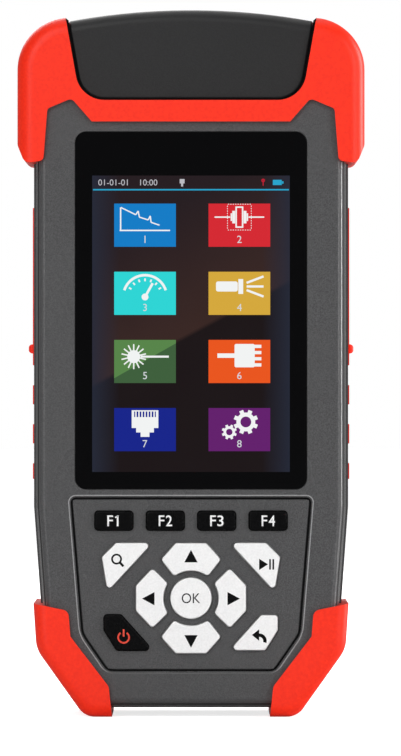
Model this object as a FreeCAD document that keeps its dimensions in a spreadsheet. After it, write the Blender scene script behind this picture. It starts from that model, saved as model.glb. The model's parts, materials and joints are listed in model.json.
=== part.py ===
"""Handheld fibre tester (optical time domain reflectometer), standing upright.

X runs to the user's right, Y from the screen towards the back, Z up. The origin is under the
middle of the instrument, on the plane of its two rubber feet. All lengths are millimetres.
"""

import FreeCAD, Part
import math
import os
import re

import Sketcher

doc = FreeCAD.newDocument("FibreTester")
sizes = doc.addObject("Spreadsheet::Sheet", "Sizes")

# Every size that can be set by itself. Depths are distances from the middle plane y = 0.
DIMENSIONS = [
    # casing outline, seen from the front
    ("sideHalf", 39.3),         # rear shell, middle to side
    ("floorZ", 1.7),            # underside of the shells
    ("footHalf", 26.0),         # end of the flat underside
    ("cornerHalf", 36.8),       # upper end of the slanted lower corner
    ("cornerZ", 16.8),
    ("sideFootZ", 52.0),        # where the sides become upright
    ("towerTopZ", 169.9),       # top of the two towers beside the port bay
    ("towerRound", 8.2),
    ("cornerRound", 7.0),
    ("seamStep", 0.7),          # front shell stands in from the rear shell
    # casing depths
    ("faceDepth", 19.6),
    ("backDepth", 19.2),
    ("guardFront", 1.4),        # guards stand this far proud of the screen side
    ("guardBack", 1.8),
    ("seamDepth", 5.0),
    ("wall", 2.0),
    ("sideWall", 2.8),
    ("sealWide", 0.9),
    ("sealInset", 1.7),         # rear shell's side to the seal
    ("postGap", 0.2),
    ("faceBevelIn", 1.2),
    ("faceBevelDeep", 6.0),
    ("faceRound", 1.6),
    ("backRound", 5.0),
    # port bay and its cover
    ("bayZ", 153.0),            # floor of the bay between the towers
    ("coverGap", 0.35),
    ("coverHalf", 26.9),        # cover half width at its lower edge
    ("coverTopHalf", 30.4),     # cover half width at the towers' level
    ("coverTopZ", 175.5),       # crown of the arched cover
    ("coverRise", 2.8),
    ("coverRound", 6.6),
    ("coverFront", 19.2),
    ("coverWall", 1.8),
    ("coverFrontRound", 3.0),
    ("coverBackRound", 5.0),
    ("coverEdge", 0.6),         # rounding of the cover's other front edges
    ("coverHingeY", 16.3),
    ("coverHingeZ", 157.0),
    ("coverKnuckle", 2.6),
    ("coverPin", 1.0),
    ("pinGap", 0.06),
    ("coverLugIn", 13.6),       # middle of the shell's wide knuckle to its end
    ("coverLugOut", 21.6),
    ("hingeGap", 0.3),
    # rubber guards
    ("guardTopZ", 173.6),
    ("guardSide", 3.8),
    ("legFootIn", 1.9),
    ("legIn", 2.7),
    ("legTopIn", 3.7),
    ("legTopDrop", 2.1),
    ("notchOut", 2.7),
    ("notchRise", 0.4),
    ("bandIn", 2.3),
    ("bandHigh", 5.3),
    ("bandBackDrop", 1.0),
    ("toeOut", 0.4),
    ("toeProud", 1.6),
    ("toeLip", 0.1),
    ("guardRound", 13.0),
    ("guardEdge", 4.0),
    ("guardGap", 0.55),          # between the guard and the cover
    ("legFootZ", 141.9),
    ("legZ", 137.3),            # lower end of the top guard's legs
    ("toeInner", 19.6),
    ("toeTopZ", 28.2),
    ("toeInTopZ", 26.4),
    ("toeInHalf", 30.4),
    ("toeInZ", 20.0),
    ("toeTipHalf", 20.4),
    ("toeTipZ", 7.6),
    ("toeEdge", 3.2),
    ("toeRound", 5.0),
    # side grips
    ("gripLowZ", 58.8),
    ("gripHighZ", 126.7),
    ("gripFrontY", -2.6),
    ("gripBackY", 9.4),
    ("gripBase", 38.1),         # middle to the seat of the grip
    ("gripProud", 0.35),
    ("gripGroove", 0.55),
    ("gripGrooveLong", 5.0),
    ("gripPitch", 9.8),
    ("gripNubZ", 91.4),
    ("gripNubHalf", 1.15),
    ("gripNubProud", 1.1),
    ("partGap", 0.2),           # clearance round pieces that drop into a recess
    # display
    ("lensHalf", 28.65),
    ("lensLowZ", 56.6),
    ("lensHighZ", 145.1),
    ("lensThick", 1.1),
    ("lensSunk", 0.1),
    ("lensRound", 2.7),
    ("windowHalf", 26.4),
    ("windowLowZ", 58.6),
    ("windowHighZ", 136.6),
    ("panelHalf", 27.3),
    ("panelLowZ", 56.4),
    ("panelHighZ", 139.4),
    ("panelThick", 2.4),
    ("foamThick", 0.5),
    # keypad
    ("padSunk", 0.6),
    ("padTopZ", 54.5),
    ("padTopHalf", 30.0),
    ("padSideHalf", 27.2),
    ("padSideZ", 20.6),
    ("padFootHalf", 20.8),
    ("padFootZ", 11.3),
    ("padRound", 1.4),
    ("padGroove", 0.7),         # width of the channel round the keypad
    ("padGrooveDeep", 0.5),
    ("padBevel", 0.35),
    ("keyGap", 0.25),
    ("keyRound", 0.8),
    ("keyProud", 0.6),
    ("keyEdge", 0.35),
    ("keyFlange", 0.55),
    ("keyFlangeThick", 0.8),
    ("keySeat", 0.12),
    ("keyTravel", 0.8),
    ("functionPitch", 12.75),
    ("functionZ", 48.7),
    ("functionHalf", 4.65),
    ("functionHigh", 2.3),
    ("okZ", 29.5),
    ("okRadius", 5.1),
    ("ringRadius", 6.85),
    ("arrowReach", 13.65),
    ("arrowTip", 3.8),
    ("arrowSideTip", 3.1),
    ("arrowHalf", 7.4),
    ("arrowWaist", 9.6),
    ("arrowRoot", 3.7),
    ("arrowRootReach", 4.9),
    ("sideRoot", 2.5),
    ("sideRootReach", 4.6),
    ("upperKeyTopZ", 43.2),
    ("upperKeyIn", 9.6),
    ("upperKeyOut", 18.6),
    ("upperKeySide", 22.1),
    ("upperKeySideZ", 39.7),
    ("upperKeyTip", 20.7),
    ("upperKeyTipZ", 31.2),
    ("lowerKeyTopZ", 25.3),
    ("lowerKeyTopIn", 17.4),
    ("lowerKeyTopOut", 21.5),
    ("lowerKeyOutZ", 21.6),
    ("lowerKeyIn", 9.6),
    ("lowerKeyInZ", 16.6),
    ("lowerKeyFootOut", 18.4),
    # circuit board and what it carries
    ("boardFront", 11.8),
    ("boardThick", 1.6),
    ("boardHalf", 34.0),
    ("boardLowZ", 8.5),
    ("boardHighZ", 147.0),
    ("boardFootHalf", 23.5),
    ("boardSlantHalf", 32.0),
    ("boardSlantZ", 22.0),
    ("matLowZ", 11.5),
    ("matHighZ", 53.0),
    ("matThick", 1.0),
    ("domeGap", 0.25),
    ("domeRadius", 1.6),
    ("moduleHalf", 24.0),
    ("moduleLowZ", 109.0),
    ("moduleHighZ", 144.0),
    ("moduleDeep", 12.0),
    ("moduleFoot", 1.4),
    ("chipHigh", 1.4),
    # case screws
    ("screwLowZ", 34.0),
    ("screwHighZ", 144.0),
    ("bossRadius", 4.1),
    ("postRadius", 2.9),
    ("insertRadius", 1.75),
    ("insertLong", 5.0),
    ("shankRadius", 1.25),
    ("shankLong", 9.4),
    ("headRadius", 2.3),
    ("headHigh", 2.0),
    ("sinkRadius", 2.7),
    # battery bay, its door and the stand that folds over it
    ("standHalf", 22.0),
    ("standThick", 2.3),
    ("standGap", 0.4),
    ("standHingeZ", 101.0),
    ("standFootZ", 22.0),
    ("standKnuckle", 2.0),
    ("standHingeY", 17.0),
    ("standPin", 0.9),
    ("standWindowHalf", 12.0),
    ("standWindowLowZ", 36.0),
    ("standWindowHighZ", 86.0),
    ("standRound", 4.0),
    ("recessDeep", 2.8),
    ("scoopHalf", 9.0),
    ("scoopLow", 6.5),
    ("scoopDeep", 5.0),
    ("doorHalf", 20.0),
    ("doorLowZ", 25.0),
    ("doorHighZ", 96.0),
    ("doorThick", 1.6),
    ("doorScrewIn", 3.0),
    ("doorHeadHigh", 0.9),
    ("doorHeadRadius", 1.8),
    ("doorShankRadius", 1.0),
    ("doorShankLong", 4.2),
    ("batteryHalf", 16.8),
    ("batteryLowZ", 31.4),
    ("batteryHighZ", 89.6),
    ("batteryThick", 9.6),
    ("bayWall", 1.2),
    # ports
    ("portPlateThick", 1.6),
    ("plateLip", 1.3),          # plate over the opening's front and back edges
    ("plateSideLip", 4.1),
    ("portPlateRound", 1.6),
    ("plateScrewFront", 11.0),
    ("plateScrewBack", 8.0),
    ("plateHeadRadius", 1.7),
    ("plateHeadHigh", 1.1),
    ("plateShankRadius", 0.95),
    ("plateShankLong", 4.4),
    ("portPitch", 11.6),
    ("portRowY", -7.4),
    ("ferruleBore", 1.25),
    ("ferruleSleeve", 1.95),
    ("barrelRadius", 4.0),
    ("barrelBore", 3.05),
    ("barrelHigh", 8.6),
    ("nutAcross", 5.3),
    ("nutHigh", 1.6),
    ("flangeRadius", 5.6),
    ("flangeHigh", 1.4),
    ("meterRadius", 5.0),
    ("meterBore", 3.7),
    ("meterHigh", 7.0),
    ("sourceRadius", 4.4),
    ("sourceHigh", 6.2),
    ("jackX", -9.4),
    ("jackY", 4.6),
    ("jackHalf", 7.7),
    ("jackDeep", 6.3),
    ("jackLow", 9.0),
    ("socketHalf", 5.9),
    ("socketDeep", 3.5),
    ("usbX", 8.6),
    ("usbY", 4.6),
    ("usbHalf", 4.5),
    ("usbDeep", 1.62),
    ("usbLow", 6.4),
    ("usbWall", 0.3),
]

for row, (alias, value) in enumerate(DIMENSIONS, start=1):
    sizes.set(f"A{row}", alias)
    sizes.set(f"B{row}", str(value))
    sizes.setAlias(f"B{row}", alias)
doc.recompute()

ALIASES = {alias for alias, _ in DIMENSIONS}
PLANES = {"front": "XZ_Plane", "top": "XY_Plane", "side": "YZ_Plane"}
NEAR = 0.02


# ---------------------------------------------------------------- helpers: values and sketches
def bound(text):
    """The expression with each alias named on its sheet."""
    return re.sub(r"[A-Za-z]\w*", lambda m: f"Sizes.{m[0]}" if m[0] in ALIASES else m[0], str(text))


def value(text):
    """The number that an expression gives now."""
    found = sizes.evalExpression(bound(text).replace("Sizes.", ""))
    return float(getattr(found, "Value", found))


def new_body(name):
    body = doc.addObject("PartDesign::Body", name)
    body.Label = name
    return body


def new_sketch(body, plane, place):
    """A sketch parallel to one of the body's own planes; place is where that plane lies."""
    sketch = body.newObject("Sketcher::SketchObject", "Sketch")
    origin = [f for f in body.Origin.OriginFeatures if f.Role == PLANES[plane]][0]
    sketch.AttachmentSupport = [(origin, "")]
    sketch.MapMode = "FlatFace"
    sign = "-1*" if plane == "front" else ""  # the front plane's normal points to -Y
    sketch.setExpression("AttachmentOffset.Base.z", bound(f"{sign}({place})"))
    return sketch


def pin_point(sketch, geometry, end, x, y):
    """Holds one point of a sketch at two expressions."""
    for kind, text in (("DistanceX", x), ("DistanceY", y)):
        number = sketch.addConstraint(Sketcher.Constraint(kind, -1, 1, geometry, end, value(text)))
        sketch.setExpression(f"Constraints[{number}]", bound(text))


def draw_polygon(sketch, points):
    first = sketch.GeometryCount
    spots = [FreeCAD.Vector(value(x), value(y), 0) for x, y in points]
    count = len(points)
    for i in range(count):
        sketch.addGeometry(Part.LineSegment(spots[i], spots[(i + 1) % count]), False)
    for i in range(count):
        after = first + (i + 1) % count
        sketch.addConstraint(Sketcher.Constraint("Coincident", first + i, 2, after, 1))
    for i, (x, y) in enumerate(points):
        pin_point(sketch, first + i, 1, x, y)


def draw_circle(sketch, x, y, radius):
    centre = FreeCAD.Vector(value(x), value(y), 0)
    number = sketch.addGeometry(Part.Circle(centre, FreeCAD.Vector(0, 0, 1), value(radius)), False)
    pin_point(sketch, number, 3, x, y)
    size = sketch.addConstraint(Sketcher.Constraint("Radius", number, value(radius)))
    sketch.setExpression(f"Constraints[{size}]", bound(radius))


def draw(sketch, shapes):
    """shapes: polygons as lists of points, circles as (x, y, radius)."""
    for shape in shapes:
        if isinstance(shape, list):
            draw_polygon(sketch, shape)
        else:
            draw_circle(sketch, *shape)


def add(body, plane, shapes, start, end):
    """Pads the shapes from start to end along the plane's axis."""
    sketch = new_sketch(body, plane, end if plane == "front" else start)
    draw(sketch, shapes)
    pad = body.newObject("PartDesign::Pad", "Pad")
    pad.Profile = sketch
    pad.setExpression("Length", bound(f"({end}) - ({start})"))
    doc.recompute([sketch, pad, body])
    return pad


def cut(body, plane, shapes, start, end):
    """Pockets the shapes from start to end along the plane's axis."""
    before = body.Shape.Volume
    sketch = new_sketch(body, plane, start if plane == "front" else end)
    draw(sketch, shapes)
    pocket = body.newObject("PartDesign::Pocket", "Pocket")
    pocket.Profile = sketch
    pocket.setExpression("Length", bound(f"({end}) - ({start})"))
    doc.recompute([sketch, pocket, body])
    if not body.Shape.Volume < before:
        raise RuntimeError(f"a pocket in {body.Label} cut nothing")
    return pocket


def revolve(body, plane, points, axis_point, axis="V_Axis"):
    """Turns a half profile round the sketch's own axis."""
    sketch = new_sketch(body, plane, axis_point)
    draw(sketch, [points])
    turned = body.newObject("PartDesign::Revolution", "Revolution")
    turned.Profile = sketch
    turned.ReferenceAxis = (sketch, [axis])
    turned.Angle = 360
    doc.recompute()
    return turned


def edges(shape, wanted):
    return [f"Edge{i}" for i, e in enumerate(shape.Edges, start=1) if wanted(e)]


def dress(body, kind, size, wanted, size2=None):
    """Rounds or bevels the edges of the body's tip that wanted() picks."""
    base = body.Tip
    names = edges(base.Shape, wanted)
    if not names:
        raise RuntimeError(f"no edge to dress in {body.Label}")
    feature = body.newObject(f"PartDesign::{kind}", kind)
    feature.Base = (base, names)
    if kind == "Fillet":
        feature.setExpression("Radius", bound(size))
    else:
        feature.setExpression("Size", bound(size))
        if size2:
            feature.ChamferType = "Two distances"
            feature.setExpression("Size2", bound(size2))
    doc.recompute([feature, body])
    if "Invalid" in feature.State or feature.Shape.isNull():
        raise RuntimeError(f"{kind} of {body.Label} failed")
    return feature


def along(axis, *spots):
    """Picks straight edges along axis 0, 1 or 2, at given places on the other two, or anywhere."""
    others = [i for i in range(3) if i != axis]
    places = [(value(a), value(b)) for a, b in spots]

    def wanted(edge):
        ends = [v.Point for v in edge.Vertexes]
        if len(ends) != 2 or any(abs(ends[0][i] - ends[1][i]) > NEAR for i in others):
            return False
        if abs(ends[0][axis] - ends[1][axis]) < NEAR:
            return False
        here = (ends[0][others[0]], ends[0][others[1]])
        return not places or any(abs(here[0] - a) < NEAR and abs(here[1] - b) < NEAR
                                 for a, b in places)

    return wanted


def on_plane(axis, place, test=lambda centre: True):
    """Picks edges that lie in the plane where coordinate axis is place."""
    level = value(place)

    def wanted(edge):
        box = edge.BoundBox
        low = (box.XMin, box.YMin, box.ZMin)[axis]
        high = (box.XMax, box.YMax, box.ZMax)[axis]
        return abs(low - level) < NEAR and abs(high - level) < NEAR and test(edge.CenterOfMass)

    return wanted


def mirrored(points):
    """The right half of an outline, closed by its mirror image."""
    return points + [(f"-({x})", y) for x, y in reversed(points)]


def box(half, low, high, middle="0"):
    """A rectangle by half width, and low and high."""
    left, right = f"{middle} - ({half})", f"{middle} + ({half})"
    return [(left, low), (right, low), (right, high), (left, high)]


def combine(kind, name, base, tool):
    """A boolean of two objects: Part::Cut, Part::Fuse or Part::Common."""
    made = doc.addObject(f"Part::{kind}", name)
    made.Base = base
    made.Tool = tool
    made.Label = name
    doc.recompute([made])
    return made


def primitive(kind, name, at, turn=None, **size):
    """A Part box, cylinder or cone, its place and sizes bound to the sheet."""
    made = doc.addObject(f"Part::{kind}", name)
    for key, text in size.items():
        made.setExpression(key, bound(text))
    if turn:
        made.Placement.Rotation = FreeCAD.Rotation(*turn)
    for key, text in zip("xyz", at):
        made.setExpression(f"Placement.Base.{key}", bound(text))
    return made


def gather(name, parts):
    """Separate solids kept together as one node."""
    made = doc.addObject("Part::Compound", name)
    made.Links = parts
    made.Label = name
    doc.recompute()
    return made


ALONG_X = (FreeCAD.Vector(0, 1, 0), 90)
ALONG_Y = (FreeCAD.Vector(1, 0, 0), -90)
NODES = []


def keep(name, made):
    made.Label = name
    NODES.append(made)
    return made


# places that follow from the sizes above
SCREW_X = "(cornerHalf - seamStep - sideWall - bossRadius)"
MAT_HALF = f"({SCREW_X} - bossRadius - partGap)"
GUARD_FRONT, GUARD_BACK = "(-faceDepth - guardFront)", "(backDepth + guardBack)"
GUARD_HALF = "(sideHalf + guardSide)"
NOTCH_HALF, BAND_HALF = "(coverHalf + notchOut)", "(coverHalf - bandIn)"


# ---------------------------------------------------------------- outlines shared by the shells
RISE, RUN = "(cornerZ - floorZ)", "(cornerHalf - footHalf)"
HALF_TURN = f"((sqrt({RUN}^2 + {RISE}^2) - {RUN}) / {RISE})"  # tangent of half the slant's angle
NOTCH_SLOPE = "(coverTopHalf - coverHalf) / (coverTopZ - coverRise - bayZ)"


def notch_x(z, gap):
    return f"coverHalf + {gap} + ({z} - bayZ) * {NOTCH_SLOPE}"


def shell_outline(inset, top="", bay=None):
    """Front view of the casing, drawn in by inset. bay is how far the port bay's sides and floor
    are drawn in, where that differs, and top lowers the towers."""
    top = top or f"towerTopZ - ({inset})"
    bay = inset if bay is None else bay
    return mirrored([
        (f"footHalf - ({inset}) * {HALF_TURN}", f"floorZ + ({inset})"),
        (f"cornerHalf - ({inset})", f"cornerZ + ({inset}) * (1 - {HALF_TURN}) / (1 + {HALF_TURN})"),
        (f"sideHalf - ({inset})", "sideFootZ"),
        (f"sideHalf - ({inset})", top),
        (notch_x(f"({top})", f"coverGap + ({bay})"), top),
        (f"coverHalf + coverGap + ({bay})", f"bayZ - ({bay})"),
    ])


def round_outline(body, inset, top="", bay=None):
    """Rounds the corners of an outline with the same drawing-in; a lowered top stays square."""
    points = shell_outline(inset, top, bay)
    radii = {0: f"cornerRound - ({inset})", 1: f"cornerRound - ({inset})",
             3: f"towerRound - ({inset})", 5: f"coverRound + coverGap + ({bay or inset})"}
    if top:
        del radii[3]
    for index, radius in radii.items():
        pair = (points[index], points[len(points) - 1 - index])
        dress(body, "Fillet", radius, along(1, *pair))


def below_bay(centre):
    """True for outline edges that aren't in the port bay."""
    inside = abs(centre.x) < value(notch_x("towerTopZ", "coverGap")) + 0.5
    return not (inside and centre.z > value("bayZ") - 1)


def face_at(shape, axis, place):
    """Name of the flat face where coordinate axis is place."""
    level = value(place)
    for i, face in enumerate(shape.Faces, start=1):
        limits = face.BoundBox
        low = (limits.XMin, limits.YMin, limits.ZMin)[axis]
        high = (limits.XMax, limits.YMax, limits.ZMax)[axis]
        if abs(low - level) < NEAR and abs(high - level) < NEAR:
            return f"Face{i}"
    raise RuntimeError(f"no face at {place}")


def grown_face(body, feature, place, margin):
    """The outline of a flat face that looks along Y, grown by margin, for use in body."""
    binder = body.newObject("PartDesign::SubShapeBinder", "Grown")
    binder.Support = [(feature, (face_at(feature.Shape, 1, place),))]
    binder.setExpression("Offset", bound(margin))
    doc.recompute([binder])
    return binder


def move(made, x="0", y="0", z="0"):
    for key, text in zip("xyz", (x, y, z)):
        made.setExpression(f"Placement.Base.{key}", bound(text))
    doc.recompute()


# ---------------------------------------------------------------- keypad keys
CAP_TOP = "-faceDepth - keyProud"
CAP_BACK = "-faceDepth + wall + keySeat"
FLANGE_BACK = f"{CAP_BACK} + keyFlangeThick"


def compass(tip, root, root_reach, side):
    """Outline of an arrow key; side turns the upright key's points to the right-hand one."""
    points = [(f"-({tip})", "arrowReach"), (tip, "arrowReach"), ("arrowHalf", "arrowWaist"),
              (root, root_reach), (f"-({root})", root_reach), ("-arrowHalf", "arrowWaist")]
    if side:
        return [(y, f"okZ - ({x})") for x, y in points]
    return [(x, f"okZ + ({y})") for x, y in points]


def flip_x(points):
    return [(f"-({x})", y) for x, y in reversed(points)]


def flip_z(points):
    return [(x, f"2 * okZ - ({y})") for x, y in reversed(points)]


UP = compass("arrowTip", "arrowRoot", "arrowRootReach", False)
RIGHT = compass("arrowSideTip", "sideRoot", "sideRootReach", True)
UPPER = [("-upperKeyIn", "upperKeyTopZ"), ("-upperKeyOut", "upperKeyTopZ"),
         ("-upperKeySide", "upperKeySideZ"), ("-upperKeyTip", "upperKeyTipZ")]
LOWER = [("-lowerKeyTopIn", "lowerKeyTopZ"), ("-lowerKeyTopOut", "lowerKeyTopZ"),
         ("-lowerKeyTopOut", "lowerKeyOutZ"), ("-lowerKeyFootOut", "lowerKeyInZ"),
         ("-lowerKeyIn", "lowerKeyInZ")]

KEYS = {
    "key_zoom": UPPER,
    "key_run_pause": flip_x(UPPER),
    "key_power": LOWER,
    "key_back": flip_x(LOWER),
    "key_up": UP,
    "key_down": flip_z(UP),
    "key_right": RIGHT,
    "key_left": flip_x(RIGHT),
    "key_ok": ("0", "okZ", "okRadius"),
}
for number in range(4):
    middle = f"{number - 1.5} * functionPitch"
    KEYS[f"key_f{number + 1}"] = box("functionHalf", "functionZ - functionHigh",
                                     "functionZ + functionHigh", middle)


def make_key(name, outline):
    """A cap through the keypad, and a flange that holds it behind the front wall."""
    body = new_body(name)
    cap = add(body, "front", [outline], CAP_TOP, CAP_BACK)
    if outline in (UP, RIGHT) or name in ("key_down", "key_left"):
        cap = cut(body, "front", [("0", "okZ", "ringRadius")], CAP_TOP, CAP_BACK)
    if isinstance(outline, list):
        cap = dress(body, "Fillet", "keyRound", along(1))
    flange = body.newObject("PartDesign::Pad", "Flange")
    flange.Profile = grown_face(body, cap, CAP_BACK, "keyFlange")
    flange.setExpression("Length", bound("keyFlangeThick"))
    doc.recompute([flange, body])
    dress(body, "Fillet", "keyEdge", on_plane(1, CAP_TOP))
    return keep(name, body), cap


# ---------------------------------------------------------------- casing
INNER = "seamStep + sideWall"
INNER_TOP = "towerTopZ - towerRound - sideWall"
SCREWS = [(f"{side} * {SCREW_X}", height) for side in (-1, 1) for height in ("screwLowZ", "screwHighZ")]
OPEN_HALF = "portPitch + flangeRadius + partGap"
OPEN_FRONT = "portRowY - flangeRadius - partGap"
OPEN_BACK = "jackY + jackDeep + partGap"
PLATE_SCREWS = [(f"{side} * ({OPEN_HALF} + plateSideLip / 2)", y) for side in (-1, 1)
                for y in ("-plateScrewFront", "plateScrewBack")]


def floor_box(half, front, back):
    """A rectangle seen from above."""
    return [(f"-({half})", front), (half, front), (half, back), (f"-({half})", back)]


PORT_HOLE = floor_box(OPEN_HALF, OPEN_FRONT, OPEN_BACK)


def front_form(name):
    """The front shell's outside, before it is hollowed."""
    body = new_body(name)
    add(body, "front", [shell_outline("seamStep", bay="0")], "-faceDepth", "-seamDepth")
    round_outline(body, "seamStep", bay="0")
    dress(body, "Chamfer", "faceBevelDeep", on_plane(1, "-faceDepth", below_bay), "faceBevelIn")
    dress(body, "Fillet", "faceRound", on_plane(1, "-faceDepth", below_bay))
    return body


def rear_form(name):
    """The rear shell's outside, before it is hollowed."""
    body = new_body(name)
    add(body, "front", [shell_outline("0")], "-seamDepth", "backDepth")
    round_outline(body, "0")
    dress(body, "Fillet", "backRound", on_plane(1, "backDepth", below_bay))
    return body


def at_screws(radius):
    return [(x, z, radius) for x, z in SCREWS]


def cut_port_hole(body):
    """The opening in the bay's floor, and the pilot holes of the plate that closes it."""
    cut(body, "top", [PORT_HOLE], "bayZ - sideWall - 1", "bayZ + 1")
    front = body.Label == "front_shell"
    holes = [(x, y, "plateShankRadius") for x, y in PLATE_SCREWS if ("Front" in y) == front]
    cut(body, "top", holes, "bayZ + portPlateThick - plateShankLong", "bayZ + 1")


def make_front_shell(caps):
    body = front_form("front_shell")
    cut(body, "front", [shell_outline(INNER, INNER_TOP, "sideWall")], "-faceDepth + wall", "-seamDepth")
    round_outline(body, INNER, INNER_TOP, "sideWall")
    add(body, "front", at_screws("bossRadius"), "-faceDepth + wall / 2", "-boardFront")
    add(body, "front", at_screws("postRadius"), "-boardFront - wall", "-seamDepth - postGap")
    cut(body, "front", at_screws("insertRadius"), "-seamDepth - postGap - insertLong",
        "-seamDepth - postGap")
    lens = box("lensHalf + partGap", "lensLowZ - partGap", "lensHighZ + partGap")
    cut(body, "front", [lens], "-faceDepth", "-faceDepth + lensThick + lensSunk")
    dress(body, "Fillet", "lensRound + partGap", along(1, *lens))
    cut(body, "front", [box("windowHalf", "windowLowZ", "windowHighZ")], "-faceDepth",
        "-faceDepth + wall")
    pad = mirrored([("padFootHalf", "padFootZ"), ("padSideHalf", "padSideZ"),
                    ("padTopHalf", "padTopZ")])
    cut(body, "front", [pad], "-faceDepth", "-faceDepth + padSunk")
    island = mirrored([("padFootHalf - 0.5 * padGroove", "padFootZ + padGroove"),
                       ("padSideHalf - padGroove", "padSideZ + 0.4 * padGroove"),
                       ("padTopHalf - padGroove", "padTopZ - padGroove")])
    cut(body, "front", [pad, island], "-faceDepth + padSunk", "-faceDepth + padSunk + padGrooveDeep")
    dress(body, "Fillet", "padRound", along(1, *pad))
    dress(body, "Chamfer", "padBevel", on_plane(
        1, "-faceDepth", lambda c: abs(c.x) < value("padTopHalf") + 1 and
        value("padFootZ") - 1 < c.z < value("padTopZ") + 1))
    holes = body.newObject("PartDesign::SubShapeBinder", "KeyOutlines")
    holes.Support = [(cap, (face_at(cap.Shape, 1, CAP_TOP),)) for cap in caps]
    holes.setExpression("Offset", bound("keyGap"))
    through = body.newObject("PartDesign::Pocket", "KeyHoles")
    through.Profile = holes
    through.Midplane = True
    through.setExpression("Length", bound("4 * wall"))
    doc.recompute([holes, through, body])
    cut_port_hole(body)
    return keep("front_shell", body)


STAND_TOP = "standHingeZ + standKnuckle + standGap"
RECESS_FLOOR = "backDepth - recessDeep"
DOOR_SEAT = f"{RECESS_FLOOR} - doorThick"
BATTERY_BACK = f"{DOOR_SEAT} - partGap"
BATTERY_FRONT = f"{BATTERY_BACK} - batteryThick"
DOOR_SCREWS = [("0", "doorLowZ + doorScrewIn"), ("0", "doorHighZ - doorScrewIn")]


def make_rear_shell():
    body = rear_form("rear_shell")
    cut(body, "front", [shell_outline("sideWall", INNER_TOP)], "-seamDepth", "backDepth - wall")
    round_outline(body, "sideWall", INNER_TOP)
    cut(body, "front", [shell_outline("sealInset", f"{INNER_TOP} + sealWide"),
                        shell_outline("sealInset + sealWide", INNER_TOP)],
        "-seamDepth", "-seamDepth + sealWide")
    add(body, "front", at_screws("bossRadius"), "-boardFront + boardThick", "backDepth - wall / 2")
    cut(body, "front", at_screws("postRadius + postGap"), "-boardFront + boardThick", "-seamDepth")
    cut(body, "front", at_screws("shankRadius + postGap"), "-seamDepth", "backDepth")
    cut(body, "front", at_screws("sinkRadius"), "0", "backDepth")
    # thick floor under the stand, the battery's well and the door's rebate
    rim = "standHalf + standGap"
    add(body, "front", [box(f"{rim} + sideWall", "standFootZ - scoopLow - wall",
                            f"{STAND_TOP} + sideWall")], f"{DOOR_SEAT} - wall", "backDepth - wall / 2")
    well = "batteryHalf + partGap"
    add(body, "front", [box(f"{well} + bayWall", "batteryLowZ - partGap - bayWall",
                            "batteryHighZ + partGap + bayWall")],
        f"{BATTERY_FRONT} - bayWall", f"{DOOR_SEAT} - wall / 2")
    door_pilot = f"{DOOR_SEAT} + doorThick - doorHeadHigh - doorShankLong"
    add(body, "front", [(x, z, "2.4 * doorShankRadius") for x, z in DOOR_SCREWS], door_pilot,
        f"{DOOR_SEAT} - wall / 2")
    recess = box(rim, "standFootZ - standGap", STAND_TOP)
    cut(body, "front", [recess], RECESS_FLOOR, "backDepth")
    dress(body, "Fillet", "standRound + standGap", along(1, *recess[:2]))
    cut(body, "front", [box("doorHalf + partGap", "doorLowZ - partGap", "doorHighZ + partGap")],
        DOOR_SEAT, RECESS_FLOOR)
    cut(body, "front", [box(well, "batteryLowZ - partGap", "batteryHighZ + partGap")],
        BATTERY_FRONT, DOOR_SEAT)
    cut(body, "front", [(x, z, "doorShankRadius") for x, z in DOOR_SCREWS], door_pilot, DOOR_SEAT)
    cut(body, "front", [box("scoopHalf", "standFootZ - scoopLow", "standFootZ + standRound")],
        "backDepth - scoopDeep", "backDepth")
    trough = "standKnuckle + standGap"
    cut(body, "side", [[(f"standHingeY - ({trough})", f"standHingeZ - ({trough})"),
                        ("backDepth", f"standHingeZ - ({trough})"),
                        ("backDepth", STAND_TOP), (f"standHingeY - ({trough})", STAND_TOP)]],
        f"-({rim})", rim)
    cut(body, "side", [("standHingeY", "standHingeZ", "standPin")], f"-({rim}) - wall", f"{rim} + wall")
    for low, high in (("gripBase", "sideHalf"), ("-sideHalf", "-gripBase")):
        cut(body, "side", [[("gripFrontY - partGap", "gripLowZ - partGap"),
                            ("gripBackY + partGap", "gripLowZ - partGap"),
                            ("gripBackY + partGap", "gripHighZ + partGap"),
                            ("gripFrontY - partGap", "gripHighZ + partGap")]], low, high)
    # the cover's middle knuckle stands on the bay's floor
    add(body, "side", [[("coverHingeY - coverKnuckle", "bayZ - wall / 2"), ("coverHingeY", "bayZ - wall / 2"),
                        ("coverHingeY", "coverHingeZ"), ("coverHingeY - coverKnuckle", "coverHingeZ")]],
        "-coverLugIn", "coverLugIn")
    add(body, "side", [("coverHingeY", "coverHingeZ", "coverKnuckle")], "-coverLugIn", "coverLugIn")
    cut(body, "side", [("coverHingeY", "coverHingeZ", "coverPin")], "-coverLugIn", "coverLugIn")
    cut_port_hole(body)
    return keep("rear_shell", body)


def make_seal():
    """The soft ring in the rear shell's groove. It stops at both sides of the port opening."""
    body = new_body("shell_seal")
    add(body, "front", [shell_outline("sealInset", f"{INNER_TOP} + sealWide"),
                        shell_outline("sealInset + sealWide", INNER_TOP)],
        "-seamDepth", "-seamDepth + sealWide")
    cut(body, "front", [box(OPEN_HALF, "bayZ - 2 * sideWall", "bayZ")],
        "-seamDepth", "-seamDepth + sealWide")
    return keep("shell_seal", body)


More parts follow.
